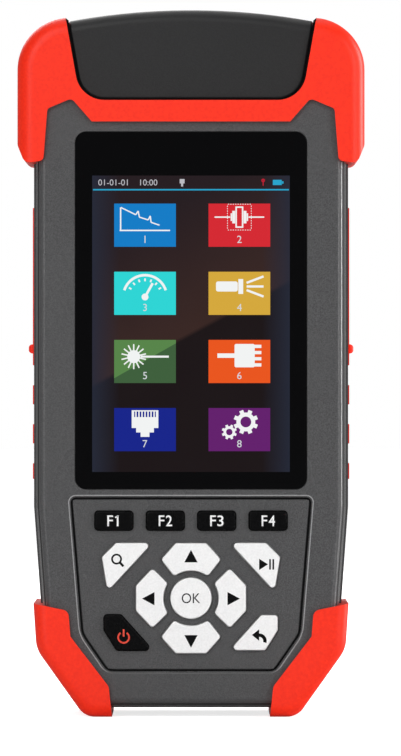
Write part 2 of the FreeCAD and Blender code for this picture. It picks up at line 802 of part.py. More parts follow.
# ---------------------------------------------------------------- rubber guards and grips
def guard(name, form, outline, rounds):
    """Rubber that fills form inside the outline, outside the casing."""
    prism = new_body(f"{name}_outline")
    add(prism, "front", [outline], f"{GUARD_FRONT} - 1", f"{GUARD_BACK} + 1")
    for radius, spots in rounds:
        dress(prism, "Fillet", radius, along(1, *spots))
    rubber = combine("Common", f"{name}_blank", form, prism)
    rubber = combine("Cut", f"{name}_front_fit", rubber, front_form(f"{name}_front_core"))
    return combine("Cut", f"{name}_fit", rubber, rear_form(f"{name}_rear_core"))


def make_top_guard():
    form = new_body("top_guard_form")
    top_outline = box(GUARD_HALF, "legZ - guardRound", "guardTopZ")
    add(form, "front", [top_outline], GUARD_FRONT, GUARD_BACK)
    dress(form, "Fillet", "guardRound", along(1, *top_outline[2:]))
    for level in (GUARD_FRONT, GUARD_BACK):
        dress(form, "Fillet", "guardEdge",
              on_plane(1, level, lambda c: c.z > value("legZ - guardRound") + 1))
    half = [
        (BAND_HALF, "bayZ - bandHigh"), (NOTCH_HALF, "bayZ + notchRise"),
        ("sideHalf - legTopIn", "bayZ - legTopDrop"), ("sideHalf - legIn", "legZ + 0.8"),
        (f"{GUARD_HALF} - legFootIn", "legZ"), (GUARD_HALF, "legFootZ"),
        (f"{GUARD_HALF} + 1", "guardTopZ + 1"), (notch_x("guardTopZ + 1", "guardGap"), "guardTopZ + 1"),
        ("coverHalf + guardGap", "bayZ"),
    ]
    outline = mirrored(half)

    def pair(index):
        return outline[index], outline[len(outline) - 1 - index]

    rounds = [("1.4", pair(1)), ("1.2", pair(2)), ("1.2", pair(3)), ("2", pair(4)), ("3", pair(5)),
              ("coverRound + guardGap", pair(8))]
    fitted = guard("top_guard", form, outline, rounds)
    swing = primitive("Box", "cover_swing_room",
                      (f"-{BAND_HALF}", "backDepth - backRound", "bayZ - bandBackDrop"),
                      Length=f"2 * {BAND_HALF}", Width=GUARD_BACK, Height="coverTopZ - bayZ")
    return keep("top_guard", combine("Cut", "top_guard", fitted, swing))


def make_lower_guard(side):
    name = "lower_guard_right" if side > 0 else "lower_guard_left"
    foot, hip = ("footHalf + toeOut", "0"), ("cornerHalf + toeProud", "cornerZ")
    tip, inner = ("toeTipHalf", "toeTipZ"), ("toeInHalf", "toeInTopZ")
    outer = [("toeInner", "0"), foot, hip, ("sideHalf + toeLip", "toeTopZ + 4"), ("toeInner", "toeTopZ + 4")]
    half = [("toeInner - 0.1", "-1"), ("sideHalf + guardSide", "-1"), ("sideHalf + guardSide", "toeTopZ"),
            ("sideHalf + toeLip", "toeTopZ"), inner, ("toeInHalf - 0.5", "toeInZ"), tip]
    if side < 0:
        outer, half = flip_x(outer), flip_x(half)
    form = new_body(f"{name}_form")
    add(form, "front", [outer], GUARD_FRONT, GUARD_BACK)
    if side < 0:
        foot, hip, tip, inner = (flip_x([spot])[0] for spot in (foot, hip, tip, inner))
    dress(form, "Fillet", "toeRound", along(1, foot))
    dress(form, "Fillet", "1.6 * toeRound", along(1, hip))

    def outside(centre):
        return centre.z < value("toeTopZ") + 3 and abs(centre.x) > value("toeInner") + 0.5

    for level in (GUARD_FRONT, GUARD_BACK):
        dress(form, "Fillet", "toeEdge", on_plane(1, level, outside))
    return keep(name, guard(name, form, half, [("2.2", [tip]), ("1.9", [inner])]))


def make_grip(side):
    """A ribbed rubber pad let into one side of the rear shell."""
    name = "side_grip_right" if side > 0 else "side_grip_left"
    outer = "sideHalf + gripProud"
    body = new_body(name)

    def span(low, high):
        return (low, high) if side > 0 else (f"-({high})", f"-({low})")

    pad = [("gripFrontY", "gripLowZ"), ("gripBackY", "gripLowZ"), ("gripBackY", "gripHighZ"),
           ("gripFrontY", "gripHighZ")]
    add(body, "side", [pad], *span("gripBase", outer))
    for number in range(3):
        low = f"gripLowZ + 3.9 + {number} * gripPitch"
        cut(body, "side", [[("gripFrontY - 1", low), ("gripBackY + 1", low),
                            ("gripBackY + 1", f"{low} + gripGrooveLong"),
                            ("gripFrontY - 1", f"{low} + gripGrooveLong")]],
            *span(f"{outer} - gripGroove", f"{outer} + 0.1"))
    nub = [("gripFrontY + 2", "gripNubZ - gripNubHalf"), ("gripBackY - 2", "gripNubZ - gripNubHalf"),
           ("gripBackY - 2", "gripNubZ + gripNubHalf"), ("gripFrontY + 2", "gripNubZ + gripNubHalf")]
    add(body, "side", [nub], *span(f"{outer} - 0.2", f"{outer} + gripNubProud"))
    dress(body, "Fillet", "0.8 * gripNubHalf",
          on_plane(0, f"{side} * ({outer} + gripNubProud)", lambda c: True))
    return keep(name, body)


# ---------------------------------------------------------------- display
LENS_FRONT = "-faceDepth + lensSunk"
FOAM_FRONT = "-faceDepth + wall"
PANEL_FRONT = f"{FOAM_FRONT} + foamThick"
PANEL_BACK = f"{PANEL_FRONT} + panelThick"
PANEL = box("panelHalf", "panelLowZ", "panelHighZ")
WINDOW = box("windowHalf", "windowLowZ", "windowHighZ")


def make_display():
    lens = new_body("display_lens")
    outline = box("lensHalf", "lensLowZ", "lensHighZ")
    add(lens, "front", [outline], LENS_FRONT, f"{LENS_FRONT} + lensThick")
    dress(lens, "Fillet", "lensRound", along(1, *outline))
    keep("display_lens", lens)

    foam = new_body("display_foam")
    add(foam, "front", [PANEL, WINDOW], FOAM_FRONT, PANEL_FRONT)
    keep("display_foam", foam)

    panel = new_body("display_panel")
    add(panel, "front", [PANEL], PANEL_FRONT, PANEL_BACK)
    keep("display_panel", panel)

    carrier = new_body("display_carrier")
    add(carrier, "front", [box("panelHalf", "panelLowZ", "panelHighZ"),
                           box("panelHalf - 2 * wall", "panelLowZ + 2 * wall", "panelHighZ - 2 * wall")],
        PANEL_BACK, "-boardFront")
    keep("display_carrier", carrier)


# ---------------------------------------------------------------- electronics
BOARD_BACK = "-boardFront + boardThick"


def key_middle(cap):
    """Where the dome under a key stands: the middle of its cap."""
    limits = cap.Shape.BoundBox
    return str(round(limits.Center.x, 3)), str(round(limits.Center.z, 3))


def make_electronics():
    board = new_body("main_board")
    add(board, "front", [mirrored([("boardFootHalf", "boardLowZ"), ("boardSlantHalf", "boardSlantZ"),
                                   ("boardHalf", "sideFootZ"), ("boardHalf", "boardHighZ")])],
        "-boardFront", BOARD_BACK)
    cut(board, "front", [(x, z, "postRadius + postGap") for x, z in SCREWS], "-boardFront", BOARD_BACK)
    keep("main_board", board)

    # processor, memory, converter, regulator coil and connectors: half width, half height, middle
    chips = [("7", "7", "-12", "70", "chipHigh"), ("4", "6", "4", "70", "chipHigh"),
             ("5", "5", "18", "74", "chipHigh"), ("3.4", "3.4", "-24", "56", "2.4 * chipHigh"),
             ("6", "2.2", "-8", "50", "2 * chipHigh"), ("4.5", "2", "14", "50", "2 * chipHigh"),
             ("3", "3", "-24", "84", "chipHigh"), ("2.6", "4", "27", "58", "chipHigh")]
    placed = []
    for index, (half_x, half_z, x, z, high) in enumerate(chips, start=1):
        placed.append(primitive("Box", f"chip_{index}", (f"{x} - {half_x}", BOARD_BACK, f"{z} - {half_z}"),
                                Length=f"2 * {half_x}", Width=high, Height=f"2 * {half_z}"))
    doc.recompute()
    keep("board_components", gather("board_components", placed))

    shield = new_body("receiver_shield")
    can = box("11", "88", "104")
    add(shield, "front", [can], BOARD_BACK, f"{BOARD_BACK} + 3")
    cut(shield, "front", [box("10.6", "88.4", "103.6")], BOARD_BACK, f"{BOARD_BACK} + 2.6")
    keep("receiver_shield", shield)

    buzzer = primitive("Cylinder", "buzzer", ("18", BOARD_BACK, "96"), ALONG_Y, Radius="4.5",
                       Height="2.6 * chipHigh")
    doc.recompute()
    keep("buzzer", buzzer)

    module = new_body("optical_module")
    foot_back = f"{BOARD_BACK} + moduleFoot"
    add(module, "front", [box("moduleHalf", "moduleLowZ", "moduleHighZ")], foot_back,
        f"{foot_back} + moduleDeep")
    dress(module, "Fillet", "1.5", along(1))
    for x in ("-moduleHalf + 3", "moduleHalf - 3"):
        for z in ("moduleLowZ + 3", "moduleHighZ - 3"):
            add(module, "front", [(x, z, "2")], BOARD_BACK, f"{foot_back} + 1")
    keep("optical_module", module)

    battery = new_body("battery_pack")
    add(battery, "front", [box("batteryHalf", "batteryLowZ", "batteryHighZ")], BATTERY_FRONT, BATTERY_BACK)
    dress(battery, "Fillet", "2", along(2))
    keep("battery_pack", battery)


def make_mat(caps):
    """The silicone sheet with a dome below each key."""
    mat = new_body("keypad_mat")
    add(mat, "front", [mirrored([("boardFootHalf - 2", "matLowZ"), (MAT_HALF, "boardSlantZ - 3"),
                                 (MAT_HALF, "matHighZ")])], "-boardFront - matThick", "-boardFront")
    for cap in caps:
        x, z = key_middle(cap)
        add(mat, "front", [(x, z, "domeRadius")], f"{FLANGE_BACK} + keyTravel + domeGap",
            "-boardFront - matThick / 2")
    return keep("keypad_mat", mat)


# ---------------------------------------------------------------- fasteners
def screw(name, index, x, y, z, turn, shank, long, head, high):
    """One screw along its own Z, head up from z = 0, with a hexagon socket."""
    body = new_body(f"{name}_{index}")
    add(body, "top", [("0", "0", shank)], f"-({long})", f"{high} / 2")
    add(body, "top", [("0", "0", head)], "0", high)
    socket = f"0.5 * {head}"
    hexagon = [(f"{socket} * cos({60 * i})", f"{socket} * sin({60 * i})") for i in range(6)]
    cut(body, "top", [hexagon], f"0.45 * {high}", high)
    if turn:
        body.Placement.Rotation = FreeCAD.Rotation(*turn)
    move(body, x, y, z)
    return body


def screw_set(name, spots, turn, shank, long, head, high):
    made = [screw(name, i, x, y, z, turn, shank, long, head, high)
            for i, (x, y, z) in enumerate(spots, start=1)]
    return keep(name, gather(name, made))


def make_fasteners():
    screw_set("case_screws", [(x, "0", z) for x, z in SCREWS], ALONG_Y,
              "shankRadius", "shankLong", "headRadius", "headHigh")
    inserts = []
    for index, (x, z) in enumerate(SCREWS, start=1):
        body = new_body(f"insert_{index}")
        add(body, "front", [(x, z, "insertRadius"), (x, z, "shankRadius")],
            "-seamDepth - postGap - insertLong", "-seamDepth - postGap")
        inserts.append(body)
    keep("threaded_inserts", gather("threaded_inserts", inserts))
    screw_set("panel_screws", [(x, y, "bayZ + portPlateThick") for x, y in PLATE_SCREWS], None,
              "plateShankRadius", "plateShankLong", "plateHeadRadius", "plateHeadHigh")
    screw_set("door_screws", [(x, f"{RECESS_FLOOR} - doorHeadHigh", z) for x, z in DOOR_SCREWS], ALONG_Y,
              "doorShankRadius", "doorShankLong", "doorHeadRadius", "doorHeadHigh")


# ---------------------------------------------------------------- ports under the cover
PLATE_TOP = "bayZ + portPlateThick"
ROW = "portRowY"
PORTS = [("otdr_port", "-portPitch", "barrelRadius", "barrelBore", "barrelHigh"),
         ("power_meter_port", "0", "meterRadius", "meterBore", "meterHigh"),
         ("fault_locator_port", "portPitch", "sourceRadius", "ferruleSleeve + 0.9", "sourceHigh")]


def slot(act, body, radius, start, end):
    """Adds or cuts the charging port's round-ended outline: a middle and two round ends."""
    flat = "usbHalf - usbDeep"
    act(body, "top", [[(f"usbX - ({flat})", f"usbY - ({radius})"), (f"usbX + ({flat})", f"usbY - ({radius})"),
                       (f"usbX + ({flat})", f"usbY + ({radius})"),
                        (f"usbX - ({flat})", f"usbY + ({radius})")]],
        start, end)
    for side in (-1, 1):
        act(body, "top", [(f"usbX + {side} * ({flat})", "usbY", radius)], start, end)


def make_ports():
    plate = new_body("port_panel")
    outline = floor_box(f"{OPEN_HALF} + plateSideLip", f"{OPEN_FRONT} - plateLip", f"{OPEN_BACK} + plateLip")
    add(plate, "top", [outline], "bayZ", PLATE_TOP)
    dress(plate, "Fillet", "portPlateRound", along(2, *outline))
    cut(plate, "top", [(x, ROW, radius) for _, x, radius, _, _ in PORTS], "bayZ", PLATE_TOP)
    cut(plate, "top", [(x, y, "plateShankRadius") for x, y in PLATE_SCREWS], "bayZ", PLATE_TOP)
    jack = [("jackX - jackHalf", "jackY - jackDeep"), ("jackX + jackHalf", "jackY - jackDeep"),
            ("jackX + jackHalf", "jackY + jackDeep"), ("jackX - jackHalf", "jackY + jackDeep")]
    cut(plate, "top", [jack], "bayZ", PLATE_TOP)
    slot(cut, plate, "usbDeep", "bayZ", PLATE_TOP)
    keep("port_panel", plate)

    nuts = []
    for name, x, radius, bore, high in PORTS:
        body = new_body(name)
        top = f"portPlateThick + {high}"
        revolve(body, "front", [
            ("ferruleBore", "-flangeHigh"), ("flangeRadius", "-flangeHigh"), ("flangeRadius", "0"),
            (radius, "0"), (radius, top), (bore, top), (bore, "0.6"), ("ferruleSleeve", "0.6"),
            ("ferruleSleeve", f"{top} - 0.8"), ("ferruleBore", f"{top} - 0.8")], "0")
        move(body, x, ROW, "bayZ")
        keep(name, body)
        nut = new_body(f"nut_{name}")
        reach = f"(0.93 * {radius} + 1.9)"
        hexagon = [(f"{reach} * cos({60 * i})", f"{reach} * sin({60 * i})") for i in range(6)]
        add(nut, "top", [hexagon, ("0", "0", radius)], "portPlateThick", "portPlateThick + nutHigh")
        move(nut, x, ROW, "bayZ")
        nuts.append(nut)
    keep("port_nuts", gather("port_nuts", nuts))

    socket = new_body("network_jack")
    add(socket, "top", [jack], "bayZ - jackLow", f"{PLATE_TOP} + 0.4")
    mouth = [(f"jackX {side} socketHalf", f"jackY {edge} socketDeep")
             for side, edge in (("-", "-"), ("+", "-"), ("+", "+"), ("-", "+"))]
    cut(socket, "top", [mouth],
        "bayZ - jackLow + 1.2", f"{PLATE_TOP} + 0.4")
    cut(socket, "top", [[("jackX - 0.5 * socketHalf", "jackY"), ("jackX + 0.5 * socketHalf", "jackY"),
                         ("jackX + 0.5 * socketHalf", "jackY + socketDeep + 1.4"),
                         ("jackX - 0.5 * socketHalf", "jackY + socketDeep + 1.4")]],
        "bayZ - 2", f"{PLATE_TOP} + 0.4")
    keep("network_jack", socket)
    contacts = []
    for index in range(8):
        contacts.append(primitive("Box", f"contact_{index + 1}",
                                  (f"jackX + {index - 3.5} * 1.02 - 0.2", "jackY - socketDeep",
                                   "bayZ - jackLow + 1.2"),
                                  Length="0.4", Width="0.5", Height="jackLow - 1.5"))
    doc.recompute()
    keep("jack_contacts", gather("jack_contacts", contacts))

    port = new_body("charging_port")
    low, high = "bayZ - usbLow", f"{PLATE_TOP} + 0.2"
    slot(add, port, "usbDeep", low, high)
    slot(cut, port, "usbDeep - usbWall", f"{low} + usbWall", high)
    add(port, "top", [[("usbX - 3.2", "usbY - 0.35"), ("usbX + 3.2", "usbY - 0.35"),
                       ("usbX + 3.2", "usbY + 0.35"), ("usbX - 3.2", "usbY + 0.35")]], low, f"{high} - 0.8")
    keep("charging_port", port)


# ---------------------------------------------------------------- port cover and its hinge
def draw_arched(sketch, half, low, top_half, side_top, crown):
    """Slanted sides and an arched top, through the crown in the middle."""
    spots = [(f"-({half})", low), (half, low), (top_half, side_top), (f"-({top_half})", side_top)]
    vectors = [FreeCAD.Vector(value(x), value(y), 0) for x, y in spots]
    for i in range(3):
        sketch.addGeometry(Part.LineSegment(vectors[(i - 1) % 4], vectors[i]), False)
    # lines: 0 left side up-to-down, 1 bottom, 2 right side; then the arch
    middle = FreeCAD.Vector(0, value(crown), 0)
    arch = Part.Circle(*arch_circle(vectors[2], middle))
    sketch.addGeometry(Part.ArcOfCircle(arch, *arch_angles(vectors[2], middle)), False)
    sketch.addConstraint(Sketcher.Constraint("Coincident", 0, 2, 1, 1))
    sketch.addConstraint(Sketcher.Constraint("Coincident", 1, 2, 2, 1))
    sketch.addConstraint(Sketcher.Constraint("Coincident", 2, 2, 3, 1))
    sketch.addConstraint(Sketcher.Constraint("Coincident", 3, 2, 0, 1))
    pin_point(sketch, 0, 2, *spots[0])
    pin_point(sketch, 1, 2, *spots[1])
    pin_point(sketch, 2, 2, *spots[2])
    pin_point(sketch, 3, 2, *spots[3])
    rise = f"({crown} - ({side_top}))"
    number = sketch.addConstraint(Sketcher.Constraint("Radius", 3, arch_radius(vectors[2], middle)))
    sketch.setExpression(f"Constraints[{number}]",
                         bound(f"(({top_half})^2 + {rise}^2) / (2 * {rise})"))


def arch_radius(end, middle):
    rise = middle.y - end.y
    return (end.x ** 2 + rise ** 2) / (2 * rise)


def arch_circle(end, middle):
    radius = arch_radius(end, middle)
    return FreeCAD.Vector(0, middle.y - radius, 0), FreeCAD.Vector(0, 0, 1), radius


def arch_angles(end, middle):
    centre = middle.y - arch_radius(end, middle)
    angle = math.atan2(end.y - centre, end.x)
    return angle, math.pi - angle


def arched(body, inset, low, start, end, hollow=False):
    """Pads or pockets the cover's outline, drawn in by inset."""
    slope = f"{NOTCH_SLOPE}"
    half = f"coverHalf - ({inset}) + ({low} - bayZ) * {slope}"
    side_top = "coverTopZ - coverRise"
    sketch = new_sketch(body, "front", start if hollow else end)
    draw_arched(sketch, half, low, f"coverTopHalf - ({inset})", f"{side_top} - ({inset})",
                f"coverTopZ - ({inset})")
    made = body.newObject("PartDesign::Pocket" if hollow else "PartDesign::Pad", "Arched")
    made.Profile = sketch
    made.setExpression("Length", bound(f"({end}) - ({start})"))
    doc.recompute([sketch, made, body])
    return made


def make_cover():
    body = new_body("port_cover")
    back = "backDepth - 0.2"
    low = "bayZ + coverGap"
    arched(body, "0", low, "-coverFront", back)
    sides = [(f"{s} * (coverHalf + coverGap * {NOTCH_SLOPE})", low) for s in (-1, 1)]
    dress(body, "Fillet", "coverRound", along(1, *sides))
    crown = value("coverTopZ - 4")
    dress(body, "Fillet", "coverFrontRound", on_plane(1, "-coverFront", lambda c: c.z > crown))
    dress(body, "Fillet", "coverBackRound", on_plane(1, back, lambda c: c.z > crown))
    dress(body, "Fillet", "coverEdge", on_plane(1, "-coverFront", lambda c: c.z < crown))
    arched(body, "coverWall", "bayZ", "-coverFront + coverWall", f"{back} - coverWall", hollow=True)
    # room for the hinge: the skirt stops above the knuckles, the corners clear the bay's floor
    wide = "coverHalf + coverGap + 2"
    cut(body, "side", [[("coverHingeY - coverKnuckle - hingeGap", "bayZ"), ("backDepth + 1", "bayZ"),
                        ("backDepth + 1", "coverHingeZ"),
                        ("coverHingeY - coverKnuckle - hingeGap", "coverHingeZ")]], f"-({wide})", wide)
    middle = "coverLugIn + hingeGap"
    clear = "coverHingeZ + coverKnuckle + hingeGap"
    cut(body, "side", [[("coverHingeY - coverKnuckle - hingeGap", "bayZ"), ("backDepth + 1", "bayZ"),
                        ("backDepth + 1", clear), ("coverHingeY - coverKnuckle - hingeGap", clear)]],
        f"-({middle})", middle)
    for low_x, high_x in ((f"-({wide})", "-coverLugOut - hingeGap"), ("coverLugOut + hingeGap", wide)):
        cut(body, "side", [[("coverHingeY - coverKnuckle - hingeGap", "bayZ"), ("backDepth + 1", "bayZ"),
                            ("backDepth + 1", f"{clear} + 3"),
                            ("coverHingeY - coverKnuckle - hingeGap", f"{clear} + 3")]], low_x, high_x)
    for low_x, high_x in ((middle, "coverLugOut"), ("-coverLugOut", f"-({middle})")):
        add(body, "side", [("coverHingeY", "coverHingeZ", "coverKnuckle")], low_x, high_x)
        add(body, "side", [[("coverHingeY", "coverHingeZ"), (back, "coverHingeZ"),
                            (back, f"{clear} + 1"), ("coverHingeY", f"{clear} + 1")]], low_x, high_x)
        cut(body, "side", [("coverHingeY", "coverHingeZ", "coverPin + pinGap")], low_x, high_x)
    keep("port_cover", body)
    pin = primitive("Cylinder", "cover_pin", ("-coverLugOut", "coverHingeY", "coverHingeZ"), ALONG_X,
                    Radius="coverPin", Height="2 * coverLugOut")
    doc.recompute()
    keep("cover_pin", pin)


# ---------------------------------------------------------------- battery door and stand
def make_back_pieces():
    door = new_body("battery_door")
    add(door, "front", [box("doorHalf", "doorLowZ", "doorHighZ")], DOOR_SEAT, RECESS_FLOOR)
    cut(door, "front", [(x, z, "doorShankRadius") for x, z in DOOR_SCREWS], DOOR_SEAT, RECESS_FLOOR)
    cut(door, "front", [(x, z, "doorHeadRadius + postGap") for x, z in DOOR_SCREWS],
        f"{RECESS_FLOOR} - doorHeadHigh", RECESS_FLOOR)
    keep("battery_door", door)

    stand = new_body("kickstand")
    plate = box("standHalf", "standFootZ", "standHingeZ")
    front, back = "backDepth - partGap - standThick", "backDepth - partGap"
    add(stand, "front", [plate], front, back)
    dress(stand, "Fillet", "standRound", along(1, *plate[:2]))
    window = box("standWindowHalf", "standWindowLowZ", "standWindowHighZ")
    cut(stand, "front", [window], front, back)
    dress(stand, "Fillet", "standRound", along(1, *window))
    add(stand, "side", [("standHingeY", "standHingeZ", "standKnuckle")], "-standHalf", "standHalf")
    cut(stand, "side", [("standHingeY", "standHingeZ", "standPin + pinGap")], "-standHalf", "standHalf")
    keep("kickstand", stand)
    reach = "standHalf + standGap + wall"
    pin = primitive("Cylinder", "kickstand_pin", (f"-({reach})", "standHingeY", "standHingeZ"), ALONG_X,
                    Radius="standPin", Height=f"2 * ({reach})")
    doc.recompute()
    keep("kickstand_pin", pin)


# ---------------------------------------------------------------- build and write
def write_parts():
    os.makedirs("parts", exist_ok=True)
    for made in NODES:
        shape = made.Shape
        if "Invalid" in made.State or "Error" in made.State or shape.isNull() or not shape.isValid():
            raise RuntimeError(f"{made.Label} is not a valid shape")
        shape.exportStep(os.path.join("parts", f"{made.Label}.step"))


caps = [make_key(name, outline)[1] for name, outline in KEYS.items()]
make_front_shell(caps)
make_rear_shell()
make_seal()
make_top_guard()
for side in (-1, 1):
    make_lower_guard(side)
    make_grip(side)
make_display()
make_electronics()
make_mat(caps)
make_fasteners()
make_ports()
make_cover()
make_back_pieces()
doc.recompute()
write_parts()
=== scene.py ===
import bmesh
import bpy
import json
import math
from mathutils import Matrix, Vector


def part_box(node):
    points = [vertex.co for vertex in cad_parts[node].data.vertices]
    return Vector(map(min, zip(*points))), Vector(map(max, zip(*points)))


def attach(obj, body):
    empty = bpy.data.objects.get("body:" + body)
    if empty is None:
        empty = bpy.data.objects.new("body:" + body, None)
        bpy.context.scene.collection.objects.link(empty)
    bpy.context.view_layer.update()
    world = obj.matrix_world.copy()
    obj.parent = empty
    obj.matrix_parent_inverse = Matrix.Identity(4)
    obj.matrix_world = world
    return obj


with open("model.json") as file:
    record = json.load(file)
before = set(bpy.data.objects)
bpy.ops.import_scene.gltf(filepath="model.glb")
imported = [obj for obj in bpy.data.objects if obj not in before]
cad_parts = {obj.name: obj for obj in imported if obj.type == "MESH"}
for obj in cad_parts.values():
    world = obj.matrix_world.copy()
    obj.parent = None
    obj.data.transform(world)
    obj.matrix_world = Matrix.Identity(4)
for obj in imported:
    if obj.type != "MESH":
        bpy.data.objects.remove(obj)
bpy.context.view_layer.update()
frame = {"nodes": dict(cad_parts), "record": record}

mm = 0.001
nodes = frame["nodes"]
bodies = frame["record"]["behaviour"]["bodies"]
groupOf = {node: body for body, members in bodies.items() for node in members}
slotOf = {part["node"]: part["material_slot"] for part in frame["record"]["subparts"]}
print("frame loaded:", len(nodes), "nodes")


# helpers for node trees

def feed(tree, node, sources):
    for key, source in sources.items():
        if isinstance(source, bpy.types.NodeSocket):
            tree.links.new(source, node.inputs[key])
        else:
            node.inputs[key].default_value = source
    return node


def addNode(tree, kind, sources=None, **settings):
    node = tree.nodes.new("ShaderNode" + kind)
    for key, setting in settings.items():
        setattr(node, key, setting)
    return feed(tree, node, sources or {})


def useGroup(tree, group, **sources):
    return feed(tree, addNode(tree, "Group", node_tree=group), sources)


def remap(tree, source, low, high, outLow=0.0, outHigh=1.0):
    return addNode(tree, "MapRange", {0: source, 1: low, 2: high, 3: outLow, 4: outHigh}).outputs[0]


def mixColour(tree, factor, a, b):
    return addNode(tree, "Mix", {0: factor, 6: a, 7: b}, data_type="RGBA").outputs[2]


def calc(tree, kind, a, b=0.0):
    return addNode(tree, "Math", {0: a, 1: b}, operation=kind).outputs[0]


# one axis of a place or direction
def partOf(tree, source, axis):
    return addNode(tree, "SeparateXYZ", {0: source}).outputs[axis]


def objectPlace(tree):
    return addNode(tree, "TexCoord").outputs["Object"]


def surfaceNormal(tree):
    return addNode(tree, "NewGeometry").outputs["Normal"]


def rgb(red, green, blue):
    def linear(part):
        part /= 255
        return part / 12.92 if part <= 0.04045 else ((part + 0.055) / 1.055) ** 2.4
    return (linear(red), linear(green), linear(blue), 1.0)


# shared effects, as node groups

effect = {
    "noiseLow": 0.3, "noiseHigh": 0.7,                  # the part of a noise spread over the full range
    "speckOut": 0.22, "speckIn": 0.05, "speckHeight": 0.4, "grainDetail": 3.0,
    "patchDetail": 3.0, "patchWarp": 0.2,
    "dustSteep": 0.45, "clumpScale": 220.0, "clumpDetail": 5.0, "clumpLow": 0.35, "clumpHigh": 0.7,
    "brushScale": 300.0, "brushDetail": 3.0,
}


def makeGroup(name, inputs, outputs):
    tree = bpy.data.node_groups.new(name, "ShaderNodeTree")
    for label, kind, default in inputs:
        socket = tree.interface.new_socket(name=label, in_out="INPUT", socket_type="NodeSocket" + kind)
        if default is not None:
            socket.default_value = default
    for label in outputs:
        tree.interface.new_socket(name=label, in_out="OUTPUT", socket_type="NodeSocketFloat")
    return tree, tree.nodes.new("NodeGroupInput").outputs, tree.nodes.new("NodeGroupOutput").inputs


# the fine texture that a mould is etched with, and the pale specks in the resin
def makeGrain():
    inputs = [("Vector", "Vector", None), ("Scale", "Float", 3000.0), ("Specks", "Float", 0.3)]
    tree, given, result = makeGroup("mouldGrain", inputs, ["Height", "Tone"])
    scaled = {"Vector": given["Vector"], "Scale": given["Scale"]}
    coarse = addNode(tree, "TexNoise", {**scaled, "Detail": effect["grainDetail"]})
    cells = addNode(tree, "TexVoronoi", scaled)
    specks = remap(tree, cells.outputs["Distance"], effect["speckOut"], effect["speckIn"])
    soft = remap(tree, coarse.outputs["Fac"], effect["noiseLow"], effect["noiseHigh"])
    for label, share in (("Height", effect["speckHeight"]), ("Tone", given["Specks"])):
        tree.links.new(calc(tree, "ADD", soft, calc(tree, "MULTIPLY", specks, share)), result[label])
    return tree


# faint patches where hands have polished or dulled the surface
def makeHandling():
    inputs = [("Vector", "Vector", None), ("Scale", "Float", 40.0), ("Amount", "Float", 0.1)]
    tree, given, result = makeGroup("handling", inputs, ["Shift"])
    patches = addNode(tree, "TexNoise", {"Vector": given["Vector"], "Scale": given["Scale"],
                                         "Detail": effect["patchDetail"], "Distortion": effect["patchWarp"]})
    centred = remap(tree, patches.outputs["Fac"], effect["noiseLow"], effect["noiseHigh"], -1.0, 1.0)
    tree.links.new(calc(tree, "MULTIPLY", centred, given["Amount"]), result["Shift"])
    return tree


# dust that settles on what faces up
def makeDust():
    inputs = [("Vector", "Vector", None), ("Amount", "Float", 0.15)]
    tree, given, result = makeGroup("settledDust", inputs, ["Mask"])
    upward = remap(tree, partOf(tree, surfaceNormal(tree), "Z"), effect["dustSteep"], 1.0)
    clumps = addNode(tree, "TexNoise", {"Vector": given["Vector"], "Scale": effect["clumpScale"],
                                        "Detail": effect["clumpDetail"]})
    clumped = remap(tree, clumps.outputs["Fac"], effect["clumpLow"], effect["clumpHigh"])
    patchy = calc(tree, "MULTIPLY", upward, clumped)
    tree.links.new(calc(tree, "MULTIPLY", patchy, given["Amount"]), result["Mask"])
    return tree


# brushed or turned metal: long fine lines along one axis
def makeBrushing():
    inputs = [("Vector", "Vector", None), ("Stretch", "Vector", (1.0, 1.0, 30.0))]
    tree, given, result = makeGroup("brushing", inputs, ["Lines"])
    stretched = addNode(tree, "VectorMath", {0: given["Vector"], 1: given["Stretch"]}, operation="MULTIPLY")
    lines = addNode(tree, "TexNoise", {"Vector": stretched.outputs[0], "Scale": effect["brushScale"],
                                       "Detail": effect["brushDetail"]})
    tree.links.new(lines.outputs["Fac"], result["Lines"])
    return tree


mouldGrain, handling, settledDust, brushing = makeGrain(), makeHandling(), makeDust(), makeBrushing()


# materials, one for each slot of the record

